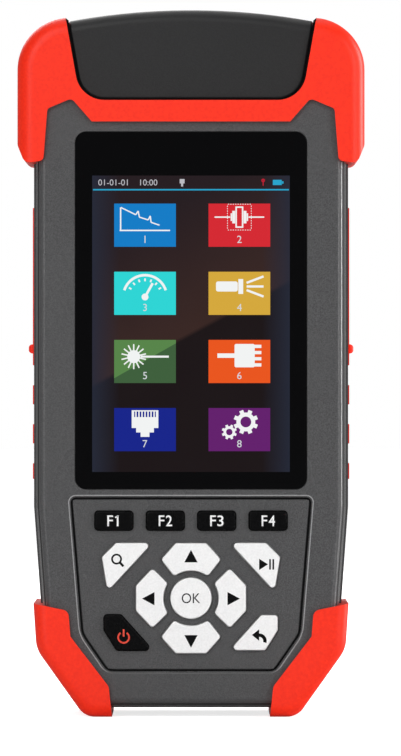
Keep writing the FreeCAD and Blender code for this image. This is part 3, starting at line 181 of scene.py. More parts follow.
surface = {
    "handledScale": 38.0, "handledAmount": 0.035, "bumpDepth": 0.00005,
    "dustColour": rgb(170, 166, 158), "dustRough": 0.5,
    "metalSmooth": 0.06, "metalDull": 0.08,             # how far the lines go below and above the roughness
    "smearScale": 60.0, "smearAmount": 0.02, "glassDust": 0.1, "glassDustColour": rgb(120, 120, 120),
}
mouldedLooks = {
    "case_plastic": {"name": "casePlastic", "dark": rgb(64, 64, 65), "light": rgb(85, 85, 86),
                     "grain": 3200.0, "specks": 0.5, "bump": 0.2, "rough": 0.27, "dust": 0.06},
    "cover_plastic": {"name": "coverPlastic", "dark": rgb(19, 19, 20), "light": rgb(31, 31, 32),
                      "grain": 3200.0, "specks": 0.4, "bump": 0.22, "rough": 0.48, "dust": 0.04},
    "red_rubber": {"name": "redRubber", "dark": rgb(236, 36, 8), "light": rgb(246, 46, 12), "grain": 1500.0,
                   "specks": 0.1, "bump": 0.12, "rough": 0.4, "dust": 0.03, "gloss": 0.28},
    "foam": {"name": "openFoam", "dark": rgb(20, 20, 20), "light": rgb(44, 44, 44), "grain": 1200.0,
             "specks": 0.6, "bump": 0.8, "rough": 0.85, "gloss": 0.2},
    "black_moulding": {"name": "blackMoulding", "dark": rgb(20, 20, 21), "light": rgb(30, 30, 31),
                       "grain": 2400.0, "specks": 0.3, "bump": 0.25, "rough": 0.45, "dust": 0.05},
    "board_green": {"name": "boardGreen", "dark": rgb(14, 66, 38), "light": rgb(26, 92, 54), "grain": 400.0,
                    "specks": 0.4, "bump": 0.2, "rough": 0.35},
    "battery_wrap": {"name": "batteryWrap", "dark": rgb(30, 60, 120), "light": rgb(42, 78, 146),
                     "grain": 300.0, "specks": 0.1, "bump": 0.1, "rough": 0.3},
    "silicone": {"name": "greySilicone", "dark": rgb(120, 120, 120), "light": rgb(140, 140, 140),
                 "grain": 1200.0, "specks": 0.1, "bump": 0.2, "rough": 0.6, "gloss": 0.3},
    "black_key": {"name": "blackKey", "dark": rgb(5, 5, 6), "light": rgb(12, 12, 13), "grain": 1800.0,
                  "specks": 0.2, "bump": 0.08, "rough": 0.26, "gloss": 0.12},
    "white_key": {"name": "whiteKey", "dark": rgb(226, 226, 226), "light": rgb(236, 236, 236),
                  "grain": 2600.0, "specks": 0.2, "bump": 0.1, "rough": 0.5, "gloss": 0.25},
}
metalLooks = {
    "tinned_steel": {"name": "tinnedSteel", "dark": rgb(150, 150, 152), "light": rgb(196, 196, 198),
                     "stretch": (1.0, 1.0, 12.0), "rough": 0.38},
    "aluminium_housing": {"name": "aluminiumHousing", "dark": rgb(170, 172, 174), "light": rgb(204, 206, 208),
                          "stretch": (1.0, 20.0, 1.0), "rough": 0.42},
    "screw_steel": {"name": "screwSteel", "dark": rgb(120, 121, 124), "light": rgb(168, 169, 172),
                    "stretch": (14.0, 1.0, 14.0), "rough": 0.32},
    "insert_brass": {"name": "insertBrass", "dark": rgb(176, 134, 62), "light": rgb(212, 170, 92),
                     "stretch": (1.0, 18.0, 1.0), "rough": 0.3},
    "nickel": {"name": "nickelPlate", "dark": rgb(176, 176, 172), "light": rgb(214, 213, 208),
               "stretch": (16.0, 16.0, 1.0), "rough": 0.24},
    "contact_gold": {"name": "contactGold", "dark": rgb(200, 150, 60), "light": rgb(236, 192, 98),
                     "stretch": (10.0, 1.0, 1.0), "rough": 0.25},
}
glassLooks = {
    "black_glass": {"name": "blackGlass", "colour": rgb(9, 9, 10), "rough": 0.06, "gloss": 0.06},
    "display_stack": {"name": "displayStack", "colour": rgb(60, 62, 68), "rough": 0.2, "gloss": 0.5},
}


def newMaterial(name, **constants):
    material = bpy.data.materials.new(name)
    material.use_nodes = True
    tree = material.node_tree
    shader = tree.nodes["Principled BSDF"]
    for key, setting in constants.items():
        shader.inputs[key.replace("_", " ")].default_value = setting
    return material, tree, shader.inputs, objectPlace(tree)


# a moulded plastic or rubber: base and speck colour, grain, gloss, dust
def makeMoulded(name, dark, light, grain, specks, bump, rough, dust=0.0, gloss=0.5):
    material, tree, shader, coords = newMaterial(name, Specular_IOR_Level=gloss)
    texture = useGroup(tree, mouldGrain, Vector=coords, Scale=grain, Specks=specks)
    marks = useGroup(tree, handling, Vector=coords, Scale=surface["handledScale"],
                     Amount=surface["handledAmount"])
    dusty = useGroup(tree, settledDust, Vector=coords, Amount=dust).outputs["Mask"]
    base = mixColour(tree, texture.outputs["Tone"], dark, light)
    tree.links.new(mixColour(tree, dusty, base, surface["dustColour"]), shader["Base Color"])
    worn = calc(tree, "ADD", marks.outputs["Shift"], rough)
    dulled = calc(tree, "MULTIPLY", dusty, surface["dustRough"])
    tree.links.new(calc(tree, "ADD", worn, dulled), shader["Roughness"])
    dent = addNode(tree, "Bump", {"Strength": bump, "Distance": surface["bumpDepth"],
                                  "Height": texture.outputs["Height"]})
    tree.links.new(dent.outputs[0], shader["Normal"])
    return material


def makeMetal(name, dark, light, stretch, rough):
    material, tree, shader, coords = newMaterial(name, Metallic=1.0)
    lines = useGroup(tree, brushing, Vector=coords, Stretch=stretch).outputs["Lines"]
    tree.links.new(mixColour(tree, lines, dark, light), shader["Base Color"])
    smooth, dull = rough - surface["metalSmooth"], rough + surface["metalDull"]
    uneven = remap(tree, lines, effect["noiseLow"], effect["noiseHigh"], smooth, dull)
    tree.links.new(uneven, shader["Roughness"])
    return material


def makeGlass(name, colour, rough, gloss):
    material, tree, shader, coords = newMaterial(name, Specular_IOR_Level=gloss)
    smears = useGroup(tree, handling, Vector=coords, Scale=surface["smearScale"],
                      Amount=surface["smearAmount"])
    dusty = useGroup(tree, settledDust, Vector=coords, Amount=surface["glassDust"])
    dusted = mixColour(tree, dusty.outputs["Mask"], colour, surface["glassDustColour"])
    tree.links.new(dusted, shader["Base Color"])
    tree.links.new(calc(tree, "ADD", smears.outputs["Shift"], rough), shader["Roughness"])
    return material


# painted shade: a dark band painted round the screen side's shell, on its rounded edge and the side behind it
# where they face aside, drawn like a parting groove with a duller finish
paintedEdgeShade = {"y": -17.25, "halfWide": 0.95, "soft": 0.12, "colour": rgb(13, 13, 14), "roughShift": 0.5,
                 "facesFront": 0.9, "facesAside": 0.7}


def makeFrontPlastic():
    material = finishes["case_plastic"].copy()
    material.name = "frontPlastic"
    tree = material.node_tree
    shader = tree.nodes["Principled BSDF"].inputs
    depth = partOf(tree, objectPlace(tree), "Y")
    turned = calc(tree, "ABSOLUTE", partOf(tree, surfaceNormal(tree), "Y"))
    beside = remap(tree, turned, paintedEdgeShade["facesFront"], paintedEdgeShade["facesAside"])
    away = calc(tree, "ABSOLUTE", calc(tree, "SUBTRACT", depth, paintedEdgeShade["y"] * mm))
    edge, soft = paintedEdgeShade["halfWide"] * mm, paintedEdgeShade["soft"] * mm
    # painted shade: where the dark band lies, on the surfaces that face aside
    groove = calc(tree, "MULTIPLY", beside, remap(tree, away, edge + soft, edge - soft))
    plain = shader["Base Color"].links[0].from_socket
    tree.links.new(mixColour(tree, groove, plain, paintedEdgeShade["colour"]), shader["Base Color"])
    worn = shader["Roughness"].links[0].from_socket
    shaded = calc(tree, "ADD", worn, calc(tree, "MULTIPLY", groove, paintedEdgeShade["roughShift"]))
    tree.links.new(shaded, shader["Roughness"])
    return material


finishes = {slot: makeMoulded(**look) for slot, look in mouldedLooks.items()}
finishes.update({slot: makeMetal(**look) for slot, look in metalLooks.items()})
finishes.update({slot: makeGlass(**look) for slot, look in glassLooks.items()})
frontPlastic = makeFrontPlastic()
for name, node in nodes.items():
    node.data.materials.clear()
    node.data.materials.append(frontPlastic if name == "front_shell" else finishes[slotOf[name]])
print("finishes:", len(finishes))


# flat printed and lit shapes are drawn in the plane of the front face

def spot(bm, x, z):
    return bm.verts.new((x * mm, 0, z * mm))


def patch(bm, points):
    return bm.faces.new([spot(bm, x, z) for x, z in points])


def roundCorners(bm, corners, radius, segments):
    bmesh.ops.bevel(bm, geom=corners, offset=radius * mm, offset_type="OFFSET", segments=segments,
                    profile=0.5, affect="VERTICES", material=-1)


# leaves a line of even width along the inside of a face's edge
def hollowOut(bm, face, width):
    bmesh.ops.inset_individual(bm, faces=[face], thickness=width * mm, use_even_offset=True)
    bmesh.ops.delete(bm, geom=[face], context="FACES")


def rect(bm, x, z, width, height, turn=0.0, corner=0.0):
    before = set(bm.verts)
    face = patch(bm, [(-width / 2, -height / 2), (width / 2, -height / 2), (width / 2, height / 2),
                      (-width / 2, height / 2)])
    if corner:
        roundCorners(bm, list(face.verts), corner, 4)
    bmesh.ops.transform(bm, verts=[v for v in bm.verts if v not in before], space=Matrix.Identity(4),
                        matrix=Matrix.Translation((x * mm, 0, z * mm)) @ Matrix.Rotation(-turn, 4, "Y"))


def stroke(bm, x1, z1, x2, z2, width):
    length, turn = math.hypot(x2 - x1, z2 - z1), math.atan2(z2 - z1, x2 - x1)
    rect(bm, (x1 + x2) / 2, (z1 + z2) / 2, length, width, turn)


def spokes(bm, x, z, near, far, width, turns):
    for turn in turns:
        stroke(bm, x + near * math.cos(turn), z + near * math.sin(turn),
               x + far * math.cos(turn), z + far * math.sin(turn), width)


def disc(bm, x, z, radius, segments=28, hole=0.0):
    made = bmesh.ops.create_circle(
        bm, cap_ends=True, radius=radius * mm, segments=segments,
        matrix=Matrix.Translation((x * mm, 0, z * mm)) @ Matrix.Rotation(math.pi / 2, 4, "X"))
    if hole:
        hollowOut(bm, made["verts"][0].link_faces[0], radius - hole)


# an arc from one angle to another, in degrees
def arc(bm, x, z, radius, width, start, end, segments):
    before = set(bm.verts)
    ends = [spot(bm, radius - width / 2, 0), spot(bm, radius + width / 2, 0)]
    edge = bm.edges.new(ends)
    first, last = math.radians(start), math.radians(end)
    bmesh.ops.rotate(bm, verts=ends, cent=(0, 0, 0), matrix=Matrix.Rotation(-first, 3, "Y"))
    bmesh.ops.spin(bm, geom=ends + [edge], cent=(0, 0, 0), axis=(0, -1, 0), angle=last - first,
                   steps=segments)
    bmesh.ops.translate(bm, verts=[v for v in bm.verts if v not in before], vec=(x * mm, 0, z * mm))


# a closed line of even width along the inside of an outline whose corners are rounded
def band(bm, points, corner, width):
    before = set(bm.faces)
    face = patch(bm, points)
    roundCorners(bm, list(face.verts), corner, 5)
    hollowOut(bm, next(f for f in bm.faces if f not in before), width)


# gives the flat shapes their thickness, towards the user, and makes one closed piece of them
def stamp(name, bm, front, thick, material, body):
    bmesh.ops.recalc_face_normals(bm, faces=bm.faces)
    flat = list(bm.faces)
    for face in flat:
        if face.normal.y < 0:
            face.normal_flip()
    raised = bmesh.ops.extrude_face_region(bm, geom=flat)
    bmesh.ops.translate(bm, verts=[v for v in raised["geom"] if isinstance(v, bmesh.types.BMVert)],
                        vec=(0, -thick * mm, 0))
    bmesh.ops.translate(bm, verts=bm.verts, vec=(0, front, 0))
    bmesh.ops.recalc_face_normals(bm, faces=bm.faces)
    return finishPiece(name, bm, material, body)


def finishPiece(name, bm, material, body):
    mesh = bpy.data.meshes.new(name)
    bm.to_mesh(mesh)
    bm.free()
    piece = bpy.data.objects.new(name, mesh)
    bpy.context.scene.collection.objects.link(piece)
    mesh.materials.append(material)
    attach(piece, body)
    return piece


# adds a word or figure to the flat shapes, as high as asked, centred on x or starting there
def letter(bm, text, x, z, height, bold=0.0, width=None, align="CENTER"):
    curve = bpy.data.curves.new("letters", "FONT")
    curve.body, curve.align_x, curve.align_y, curve.size = text, align, "CENTER", 1.0
    curve.offset = bold
    curve.resolution_u = 5
    holder = bpy.data.objects.new("letters", curve)
    bpy.context.scene.collection.objects.link(holder)
    bpy.context.view_layer.update()
    mesh = bpy.data.meshes.new_from_object(holder.evaluated_get(bpy.context.evaluated_depsgraph_get()))
    bpy.data.objects.remove(holder)
    low = Vector([min(v.co[i] for v in mesh.vertices) for i in range(3)])
    high = Vector([max(v.co[i] for v in mesh.vertices) for i in range(3)])
    upright = height * mm / (high.y - low.y)
    across = upright if width is None else width * mm / (high.x - low.x)
    anchor = low.x if align == "LEFT" else (low.x + high.x) / 2
    mesh.transform(Matrix.Translation((x * mm, 0, z * mm)) @ Matrix.Rotation(math.pi / 2, 4, "X")
                   @ Matrix.Diagonal((across, upright, 1, 1))
                   @ Matrix.Translation((-anchor, -(low.y + high.y) / 2, 0)))
    bm.from_mesh(mesh)
    bpy.data.meshes.remove(mesh)
    bpy.data.curves.remove(curve)


# the picture on the display: a dim backdrop, eight tiles with a sign and a number, and a status bar

screen = {
    "halfWidth": 24.5, "low": 60.8, "high": 134.3,      # the lit area
    "columns": (-11.4, 12.0), "topRow": 122.0, "pitch": 16.9, "tile": (15.3, 10.7),
    "layer": 0.012, "thick": 0.008,                     # each layer stands this far in front of the last
    "numberDrop": 3.5, "numberHeight": 1.8,
    "signColour": rgb(244, 246, 246), "numberColour": rgb(214, 218, 222),
    "gloss": 0.04, "rough": 0.12, "unlitLow": (0.002, 0.002, 0.002, 1), "unlitHigh": (0.004, 0.004, 0.004, 1),
    "dotRows": 2080.0, "rowDim": 0.06,
}
glare = {
    "slope": 0.353, "edge": 0.29, "soft": 0.008, "fadeTo": 0.75,    # as shares of the lit area
    "below": rgb(25, 17, 19), "nearEdge": (rgb(52, 34, 31), rgb(60, 40, 36)), "farAbove": rgb(36, 26, 30),
    "veilScale": 60.0, "veilDetail": 2.0,
    "coolColour": rgb(36, 42, 58), "coolFrom": 0.36, "coolShare": 0.8,
    "tileRow": 2, "tileLeft": -4.15, "tileRight": 4.5, "tileLayer": 2.75, "tileThick": 0.002,
    "tileColour": rgb(88, 134, 74),
}
tileColours = [
    (rgb(16, 125, 200), rgb(215, 40, 50)),
    (rgb(45, 215, 215), rgb(215, 170, 60)),
    (rgb(62, 96, 60), rgb(236, 86, 28)),
    (rgb(20, 35, 140), rgb(100, 30, 110)),
]
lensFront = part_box("display_lens")[0].y


# a lit surface: nearly black where it gives no light
def newLitMaterial(name):
    return newMaterial(name, Specular_IOR_Level=screen["gloss"], Roughness=screen["rough"],
                       Emission_Strength=1.0)


# a lit part of the picture: colour from the piece's own attribute, with the panel's fine dot rows
def makeLit():
    material, tree, shader, coords = newLitMaterial("litPicture")
    colour = addNode(tree, "Attribute", attribute_name="litColour").outputs["Color"]
    rows = addNode(tree, "TexWave", {"Vector": coords, "Scale": screen["dotRows"]}, bands_direction="Z")
    dim = remap(tree, rows.outputs["Fac"], 0.0, 1.0, 0.0, screen["rowDim"])
    tree.links.new(mixColour(tree, dim, colour, (0, 0, 0, 1)), shader["Emission Color"])
    unlit = mixColour(tree, rows.outputs["Fac"], screen["unlitLow"], screen["unlitHigh"])
    tree.links.new(unlit, shader["Base Color"])
    return material


# the backdrop has a diagonal glare, warm and lighter above and near black below, and cooler sides
def makeBackdropPicture():
    material, tree, shader, coords = newLitMaterial("screenPicture")
    across = remap(tree, partOf(tree, coords, "X"), -screen["halfWidth"] * mm, screen["halfWidth"] * mm)
    height = remap(tree, partOf(tree, coords, "Z"), screen["low"] * mm, screen["high"] * mm)
    slope = calc(tree, "SUBTRACT", height, calc(tree, "MULTIPLY", across, glare["slope"]))
    above = remap(tree, slope, glare["edge"] - glare["soft"], glare["edge"] + glare["soft"])
    veil = addNode(tree, "TexNoise", {"Vector": coords, "Scale": glare["veilScale"],
                                      "Detail": glare["veilDetail"]}).outputs["Fac"]
    low = mixColour(tree, veil, *glare["nearEdge"])
    warm = mixColour(tree, remap(tree, slope, glare["edge"], glare["fadeTo"]), low, glare["farAbove"])
    base = mixColour(tree, above, glare["below"], warm)
    side = remap(tree, calc(tree, "ABSOLUTE", calc(tree, "SUBTRACT", across, 0.5)), glare["coolFrom"], 0.5)
    cool = mixColour(tree, calc(tree, "MULTIPLY", side, glare["coolShare"]), base, glare["coolColour"])
    tree.links.new(cool, shader["Emission Color"])
    tree.links.new(mixColour(tree, veil, screen["unlitLow"], screen["unlitHigh"]), shader["Base Color"])
    return material


def layerFront(step):
    return lensFront - screen["layer"] * step * mm


def lightUp(name, bm, step, colour, thick=screen["thick"]):
    piece = stamp(name, bm, layerFront(step), thick, litPicture, "case")
    layer = piece.data.color_attributes.new("litColour", "FLOAT_COLOR", "CORNER")
    for entry in layer.data:
        entry.color = colour


def tileMiddle(row, column):
    return screen["columns"][column], screen["topRow"] - screen["pitch"] * row


def makeScreen():
    bm = bmesh.new()
    rect(bm, 0, (screen["low"] + screen["high"]) / 2, 2 * screen["halfWidth"], screen["high"] - screen["low"])
    stamp("screen_backdrop", bm, layerFront(1), screen["thick"], makeBackdropPicture(), "case")
    for row, pair in enumerate(tileColours):
        for column, colour in enumerate(pair):
            bm = bmesh.new()
            rect(bm, *tileMiddle(row, column), *screen["tile"])
            lightUp(f"screen_tile_{row * 2 + column + 1}", bm, 2, colour)


# each sign is drawn from the middle of its tile; its lengths are in mm and its turns in degrees

traceSign = {
    "line": 0.34, "upright": (-6.05, -1.45, -6.05, 4.4), "level": (-6.3, -1.3, 6.2, -1.3), "traceLine": 0.3,
    "trace": [(-6.0, 4.4), (-2.3, 2.6), (-1.7, 3.5), (-1.4, 2.0), (0.8, 1.3), (1.3, 2.3), (1.5, 0.7),
              (3.6, 0.0)],
}


def drawTrace(bm, x, z):
    for x1, z1, x2, z2 in (traceSign["upright"], traceSign["level"]):
        stroke(bm, x + x1, z + z1, x + x2, z + z2, traceSign["line"])
    for (x1, z1), (x2, z2) in zip(traceSign["trace"], traceSign["trace"][1:]):
        stroke(bm, x + x1, z + z1, x + x2, z + z2, traceSign["traceLine"])


jointSign = {
    "rise": 2.0, "endBar": (2.48, 1.3, 0.36),           # distance from the middle, width, height
    "sideBars": [(4.2, 3.9, 0.34), (0.8, 0.36, 5.3), (1.4, 0.7, 3.1), (1.98, 0.36, 1.9)],
    "frameHalfWide": 2.95, "frameHalfHigh": 3.2, "dashes": 10, "firstDash": -2.7, "dashPitch": 0.6,
    "dashLong": 0.3, "dashThick": 0.16,
}


def drawJoint(bm, x, z):
    z += jointSign["rise"]
    long, thick = jointSign["dashLong"], jointSign["dashThick"]
    for side in (-1, 1):
        for away, width, height in jointSign["sideBars"]:
            rect(bm, x + side * away, z, width, height)
        away, width, height = jointSign["endBar"]
        rect(bm, x, z + side * away, width, height)
        for dash in range(jointSign["dashes"]):
            along = jointSign["firstDash"] + dash * jointSign["dashPitch"]
            rect(bm, x + along, z + side * jointSign["frameHalfHigh"], long, thick)
            rect(bm, x + side * jointSign["frameHalfWide"], z + along, thick, long)


meterSign = {
    "rise": -0.9, "radius": 5.4, "line": 0.62, "from": 18, "to": 162, "segments": 24,
    "marks": 7, "firstMark": 30, "markPitch": 20, "markNear": 3.9, "markFar": 4.6, "markLine": 0.4,
    "needle": (1.9, 3.4), "needleLine": 0.6, "hub": 0.85,
}


def drawMeter(bm, x, z):
    z += meterSign["rise"]
    arc(bm, x, z, meterSign["radius"], meterSign["line"], meterSign["from"], meterSign["to"],
        meterSign["segments"])
    turns = [math.radians(meterSign["firstMark"] + mark * meterSign["markPitch"])
             for mark in range(meterSign["marks"])]
    spokes(bm, x, z, meterSign["markNear"], meterSign["markFar"], meterSign["markLine"], turns)
    tipX, tipZ = meterSign["needle"]
    stroke(bm, x, z, x + tipX, z + tipZ, meterSign["needleLine"])
    disc(bm, x, z, meterSign["hub"])


lampSign = {
    "rise": 1.7, "bodyX": -3.1, "body": (5.4, 2.5), "bodyCorner": 0.5, "headX": 0.35, "head": (1.2, 3.7),
    "rayFrom": 1.8, "rayTo": 6.0, "spreadFrom": 0.9, "spreadTo": 2.5, "rayLine": 0.55,
}


def drawLamp(bm, x, z):
    z += lampSign["rise"]
    rect(bm, x + lampSign["bodyX"], z, *lampSign["body"], corner=lampSign["bodyCorner"])
    rect(bm, x + lampSign["headX"], z, *lampSign["head"])
    for ray in (-1, 0, 1):
        stroke(bm, x + lampSign["rayFrom"], z + ray * lampSign["spreadFrom"],
               x + lampSign["rayTo"], z + ray * lampSign["spreadTo"], lampSign["rayLine"])


burstSign = {
    "rise": 1.2, "aside": -2.8, "core": 1.6, "rays": 14, "rayNear": 1.5, "rayFar": 3.1, "rayLine": 0.34,
    "beamX": 2.4, "beam": (7.0, 0.5),
}


def drawBurst(bm, x, z):
    z += burstSign["rise"]
    centre = x + burstSign["aside"]
    disc(bm, centre, z, burstSign["core"])
    turns = [2 * math.pi * (ray + 0.5) / burstSign["rays"] for ray in range(burstSign["rays"])]
    spokes(bm, centre, z, burstSign["rayNear"], burstSign["rayFar"], burstSign["rayLine"], turns)
    rect(bm, x + burstSign["beamX"], z, *burstSign["beam"])


plugSign = {
    "rise": 1.45, "cableX": -3.3, "cable": (4.3, 1.1), "bodyX": 1.3, "body": (5.0, 5.8), "bodyCorner": 0.4,
    "prongs": 4, "prongX": 4.6, "firstProng": -2.3, "prongPitch": 1.53, "prong": (1.7, 0.8),
}


def drawPlug(bm, x, z):
    z += plugSign["rise"]
    rect(bm, x + plugSign["cableX"], z, *plugSign["cable"])
    rect(bm, x + plugSign["bodyX"], z, *plugSign["body"], corner=plugSign["bodyCorner"])
    for prong in range(plugSign["prongs"]):
        height = plugSign["firstProng"] + prong * plugSign["prongPitch"]
        rect(bm, x + plugSign["prongX"], z + height, *plugSign["prong"])


# the upper band of the socket is cut by eight contact slots
socketSign = {
    "bars": [(4.65, 6.6, 0.3), (1.75, 6.6, 2.7), (-0.15, 4.4, 1.1), (-1.25, 2.2, 1.1)],    # z, width, height
    "posts": 9, "firstPost": -3.0, "postPitch": 0.75, "postZ": 3.8, "postWide": 0.33, "endPostWide": 0.6,
    "postHigh": 1.4,
}


def drawSocket(bm, x, z):
    for height, width, high in socketSign["bars"]:
        rect(bm, x, z + height, width, high)
    last = socketSign["posts"] - 1
    for post in range(socketSign["posts"]):
        width = socketSign["endPostWide"] if post in (0, last) else socketSign["postWide"]
        place = socketSign["firstPost"] + post * socketSign["postPitch"]
        rect(bm, x + place, z + socketSign["postZ"], width, socketSign["postHigh"])


# two toothed wheels, each a ring with a stub for each tooth, sized as shares of its radius
cogsSign = {
    "wheels": [(1.6, 1.9, 3.0, 1.35), (-2.5, -0.6, 1.85, 0.8)],    # x, z, radius, hole
    "teeth": 8, "ring": 0.78, "ringSegments": 32, "toothAt": 0.86, "toothLong": 0.3, "toothWide": 0.34,
}


def drawCogs(bm, x, z):
    teeth = cogsSign["teeth"]
    for aside, height, radius, hole in cogsSign["wheels"]:
        disc(bm, x + aside, z + height, radius * cogsSign["ring"], cogsSign["ringSegments"], hole)
        for tooth in range(teeth):
            turn = 2 * math.pi * (tooth + 0.5) / teeth
            out = radius * cogsSign["toothAt"]
            rect(bm, x + aside + out * math.cos(turn), z + height + out * math.sin(turn),
                 radius * cogsSign["toothLong"], radius * cogsSign["toothWide"], turn)


tileSigns = [(drawTrace, drawJoint), (drawMeter, drawLamp), (drawBurst, drawPlug), (drawSocket, drawCogs)]


def makeScreenSigns():
    for row, pair in enumerate(tileSigns):
        for column, drawSign in enumerate(pair):
            x, z = tileMiddle(row, column)
            number = row * 2 + column + 1
            bm = bmesh.new()
            drawSign(bm, x, z)
            lightUp(f"screen_sign_{number}", bm, 3, screen["signColour"])
            bm = bmesh.new()
            letter(bm, str(number), x, z - screen["numberDrop"], screen["numberHeight"])
            lightUp(f"screen_number_{number}", bm, 3, screen["numberColour"])


# the glare crosses one tile
def makeTileGlare():
    x, z = tileMiddle(glare["tileRow"], 0)
    halfWide, halfHigh = screen["tile"][0] / 2, screen["tile"][1] / 2
    bm = bmesh.new()
    patch(bm, [(x - halfWide, z + glare["tileLeft"]), (x + halfWide, z + glare["tileRight"]),
               (x + halfWide, z + halfHigh), (x - halfWide, z + halfHigh)])
    lightUp("screen_glare_5", bm, glare["tileLayer"], glare["tileColour"], glare["tileThick"])


statusBar = {
    "z": 132.6, "ruleZ": 130.8, "ruleThick": 0.35, "ruleShorter": 0.4, "ruleColour": rgb(40, 165, 205),
    "batteryX": 21.4, "battery": (2.2, 1.3), "batteryTip": 1.35, "tip": (0.4, 0.6),
    "digitHeight": 1.5, "date": ("01-01-01", -23.0), "clock": ("10:00", -12.6),
    "paleColour": rgb(190, 190, 196),
    "plugX": -2.2, "plugHeadRise": 0.3, "plugHead": (1.2, 1.1), "plugTailDrop": 0.6, "plugTail": (0.5, 0.8),
    "alertX": 17.9, "alertHalf": 0.8, "alertLine": 0.25, "alertColour": rgb(190, 30, 50),
    "ringRise": 0.5, "ringRadius": 0.45, "ringHole": 0.22, "ringSegments": 16,
}


def makeStatusBar():
    z, plugX, alertX = (statusBar[key] for key in ("z", "plugX", "alertX"))
    bm = bmesh.new()
    ruleLong = 2 * screen["halfWidth"] - statusBar["ruleShorter"]
    rect(bm, 0, statusBar["ruleZ"], ruleLong, statusBar["ruleThick"])
    rect(bm, statusBar["batteryX"], z, *statusBar["battery"])
    rect(bm, statusBar["batteryX"] + statusBar["batteryTip"], z, *statusBar["tip"])
    lightUp("screen_rule", bm, 2, statusBar["ruleColour"])
    bm = bmesh.new()
    for text, start in (statusBar["date"], statusBar["clock"]):
        letter(bm, text, start, z, statusBar["digitHeight"], align="LEFT")
    rect(bm, plugX, z + statusBar["plugHeadRise"], *statusBar["plugHead"])
    rect(bm, plugX, z - statusBar["plugTailDrop"], *statusBar["plugTail"])
    lightUp("screen_status", bm, 2, statusBar["paleColour"])
    bm = bmesh.new()
    half = statusBar["alertHalf"]
    stroke(bm, alertX, z - half, alertX, z + half, statusBar["alertLine"])
    disc(bm, alertX, z + statusBar["ringRise"], statusBar["ringRadius"], statusBar["ringSegments"],
         statusBar["ringHole"])
    lightUp("screen_alert", bm, 2, statusBar["alertColour"])


litPicture = makeLit()
makeScreen()
makeScreenSigns()
makeTileGlare()
makeStatusBar()
print("screen done")


# each key legend rides on its key

legend = {"gap": 0.004, "thick": 0.02, "gloss": 0.12, "rough": 0.5, "roughShare": 0.1,
          "wearScale": 400.0, "wearAmount": 0.5}
functionLegend = {
    "count": 4, "height": 2.7, "width": 3.4, "bold": 0.009, "stem": 0.42, "flagShare": 0.85,
    "aside": 0.27, "letterWide": 0.42, "figureWide": 0.46,          # as shares of the width
    "stemAside": 0.28, "flagAside": 0.1, "flagHigh": 0.3, "flagIn": 0.05, "flagDrop": 0.2,
}
okLegend = {"height": 2.5, "width": 4.6}
arrowLegend = {
    "half": 1.65, "high": 3.1,
    "places": {"key_up": (0, 39.95, 0), "key_down": (0, 18.8, 180),  # x, z and turn in degrees
               "key_left": (-10.6, 29.4, 90), "key_right": (10.6, 29.4, -90)},
}
zoomLegend = {"lens": (-18.45, 39.2, 1.35, 28, 0.9), "handle": (-17.65, 38.4, -16.75, 37.4, 0.6)}
runLegend = {"triangle": [(16.9, 36.5), (19.1, 37.9), (16.9, 39.3)], "barsX": (19.6, 20.4), "barZ": 37.9,
             "bar": (0.42, 2.6)}
powerLegend = {"ring": (-16.7, 19.8, 1.35, 0.42, 125, 415, 26), "bar": (-16.7, 20.9, 0.42, 1.8)}
backLegend = {"bend": (16.9, 18.9, 1.45, 0.85, -15, 92, 16),
              "head": [(16.9, 18.95), (16.9, 21.8), (15.1, 20.4)]}


def makeInk(name, dark, light):
    material, tree, shader, coords = newMaterial(name, Specular_IOR_Level=legend["gloss"])
    wear = useGroup(tree, handling, Vector=coords, Scale=legend["wearScale"],
                    Amount=legend["wearAmount"]).outputs["Shift"]
    tree.links.new(mixColour(tree, calc(tree, "ADD", wear, 0.5), dark, light), shader["Base Color"])
    uneven = calc(tree, "ADD", calc(tree, "MULTIPLY", wear, legend["roughShare"]), legend["rough"])
    tree.links.new(uneven, shader["Roughness"])
    return material


whiteInk = makeInk("whiteInk", rgb(226, 226, 226), rgb(244, 244, 244))
darkInk = makeInk("darkInk", rgb(34, 34, 36), rgb(50, 50, 52))
blackInk = makeInk("blackInk", rgb(2, 2, 3), rgb(10, 10, 11))
redInk = makeInk("redInk", rgb(206, 62, 48), rgb(226, 84, 66))


def keyMiddle(node):
    low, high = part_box(node)
    return (low.x + high.x) / 2 / mm, (low.z + high.z) / 2 / mm


def printOn(node, bm, ink):
    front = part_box(node)[0].y - legend["gap"] * mm
    stamp("legend_" + node[4:], bm, front, legend["thick"], ink, groupOf[node])


# the figure one is a stem with a short flag
def drawOne(bm, x, z):
    high, wide, stem = (functionLegend[key] for key in ("height", "width", "stem"))
    stemX = x + functionLegend["stemAside"] * wide
    rect(bm, stemX, z, stem, high)
    stroke(bm, stemX + functionLegend["flagIn"], z + 0.5 * high - functionLegend["flagDrop"],
           x + functionLegend["flagAside"] * wide, z + functionLegend["flagHigh"] * high,
           functionLegend["flagShare"] * stem)


def makeFunctionLegends():
    high, wide, bold = (functionLegend[key] for key in ("height", "width", "bold"))
    aside = functionLegend["aside"] * wide
    for number in range(1, functionLegend["count"] + 1):
        node = f"key_f{number}"
        x, z = keyMiddle(node)
        bm = bmesh.new()
        letter(bm, "F", x - aside, z, high, bold, functionLegend["letterWide"] * wide)
        if number == 1:
            drawOne(bm, x, z)
        else:
            letter(bm, str(number), x + aside, z, high, bold, functionLegend["figureWide"] * wide)
        printOn(node, bm, whiteInk)


def makeOkLegend():
    x, z = keyMiddle("key_ok")
    bm = bmesh.new()
    letter(bm, "OK", x, z, okLegend["height"], width=okLegend["width"])
    printOn("key_ok", bm, darkInk)


def makeArrowLegends():
    half, high = arrowLegend["half"], arrowLegend["high"]
    points = [(-half, -high / 2), (half, -high / 2), (0, high / 2)]
    for node, (x, z, degrees) in arrowLegend["places"].items():
        cosine, sine = math.cos(math.radians(degrees)), math.sin(math.radians(degrees))
        bm = bmesh.new()
        patch(bm, [(x + px * cosine - pz * sine, z + px * sine + pz * cosine) for px, pz in points])
        printOn(node, bm, blackInk)


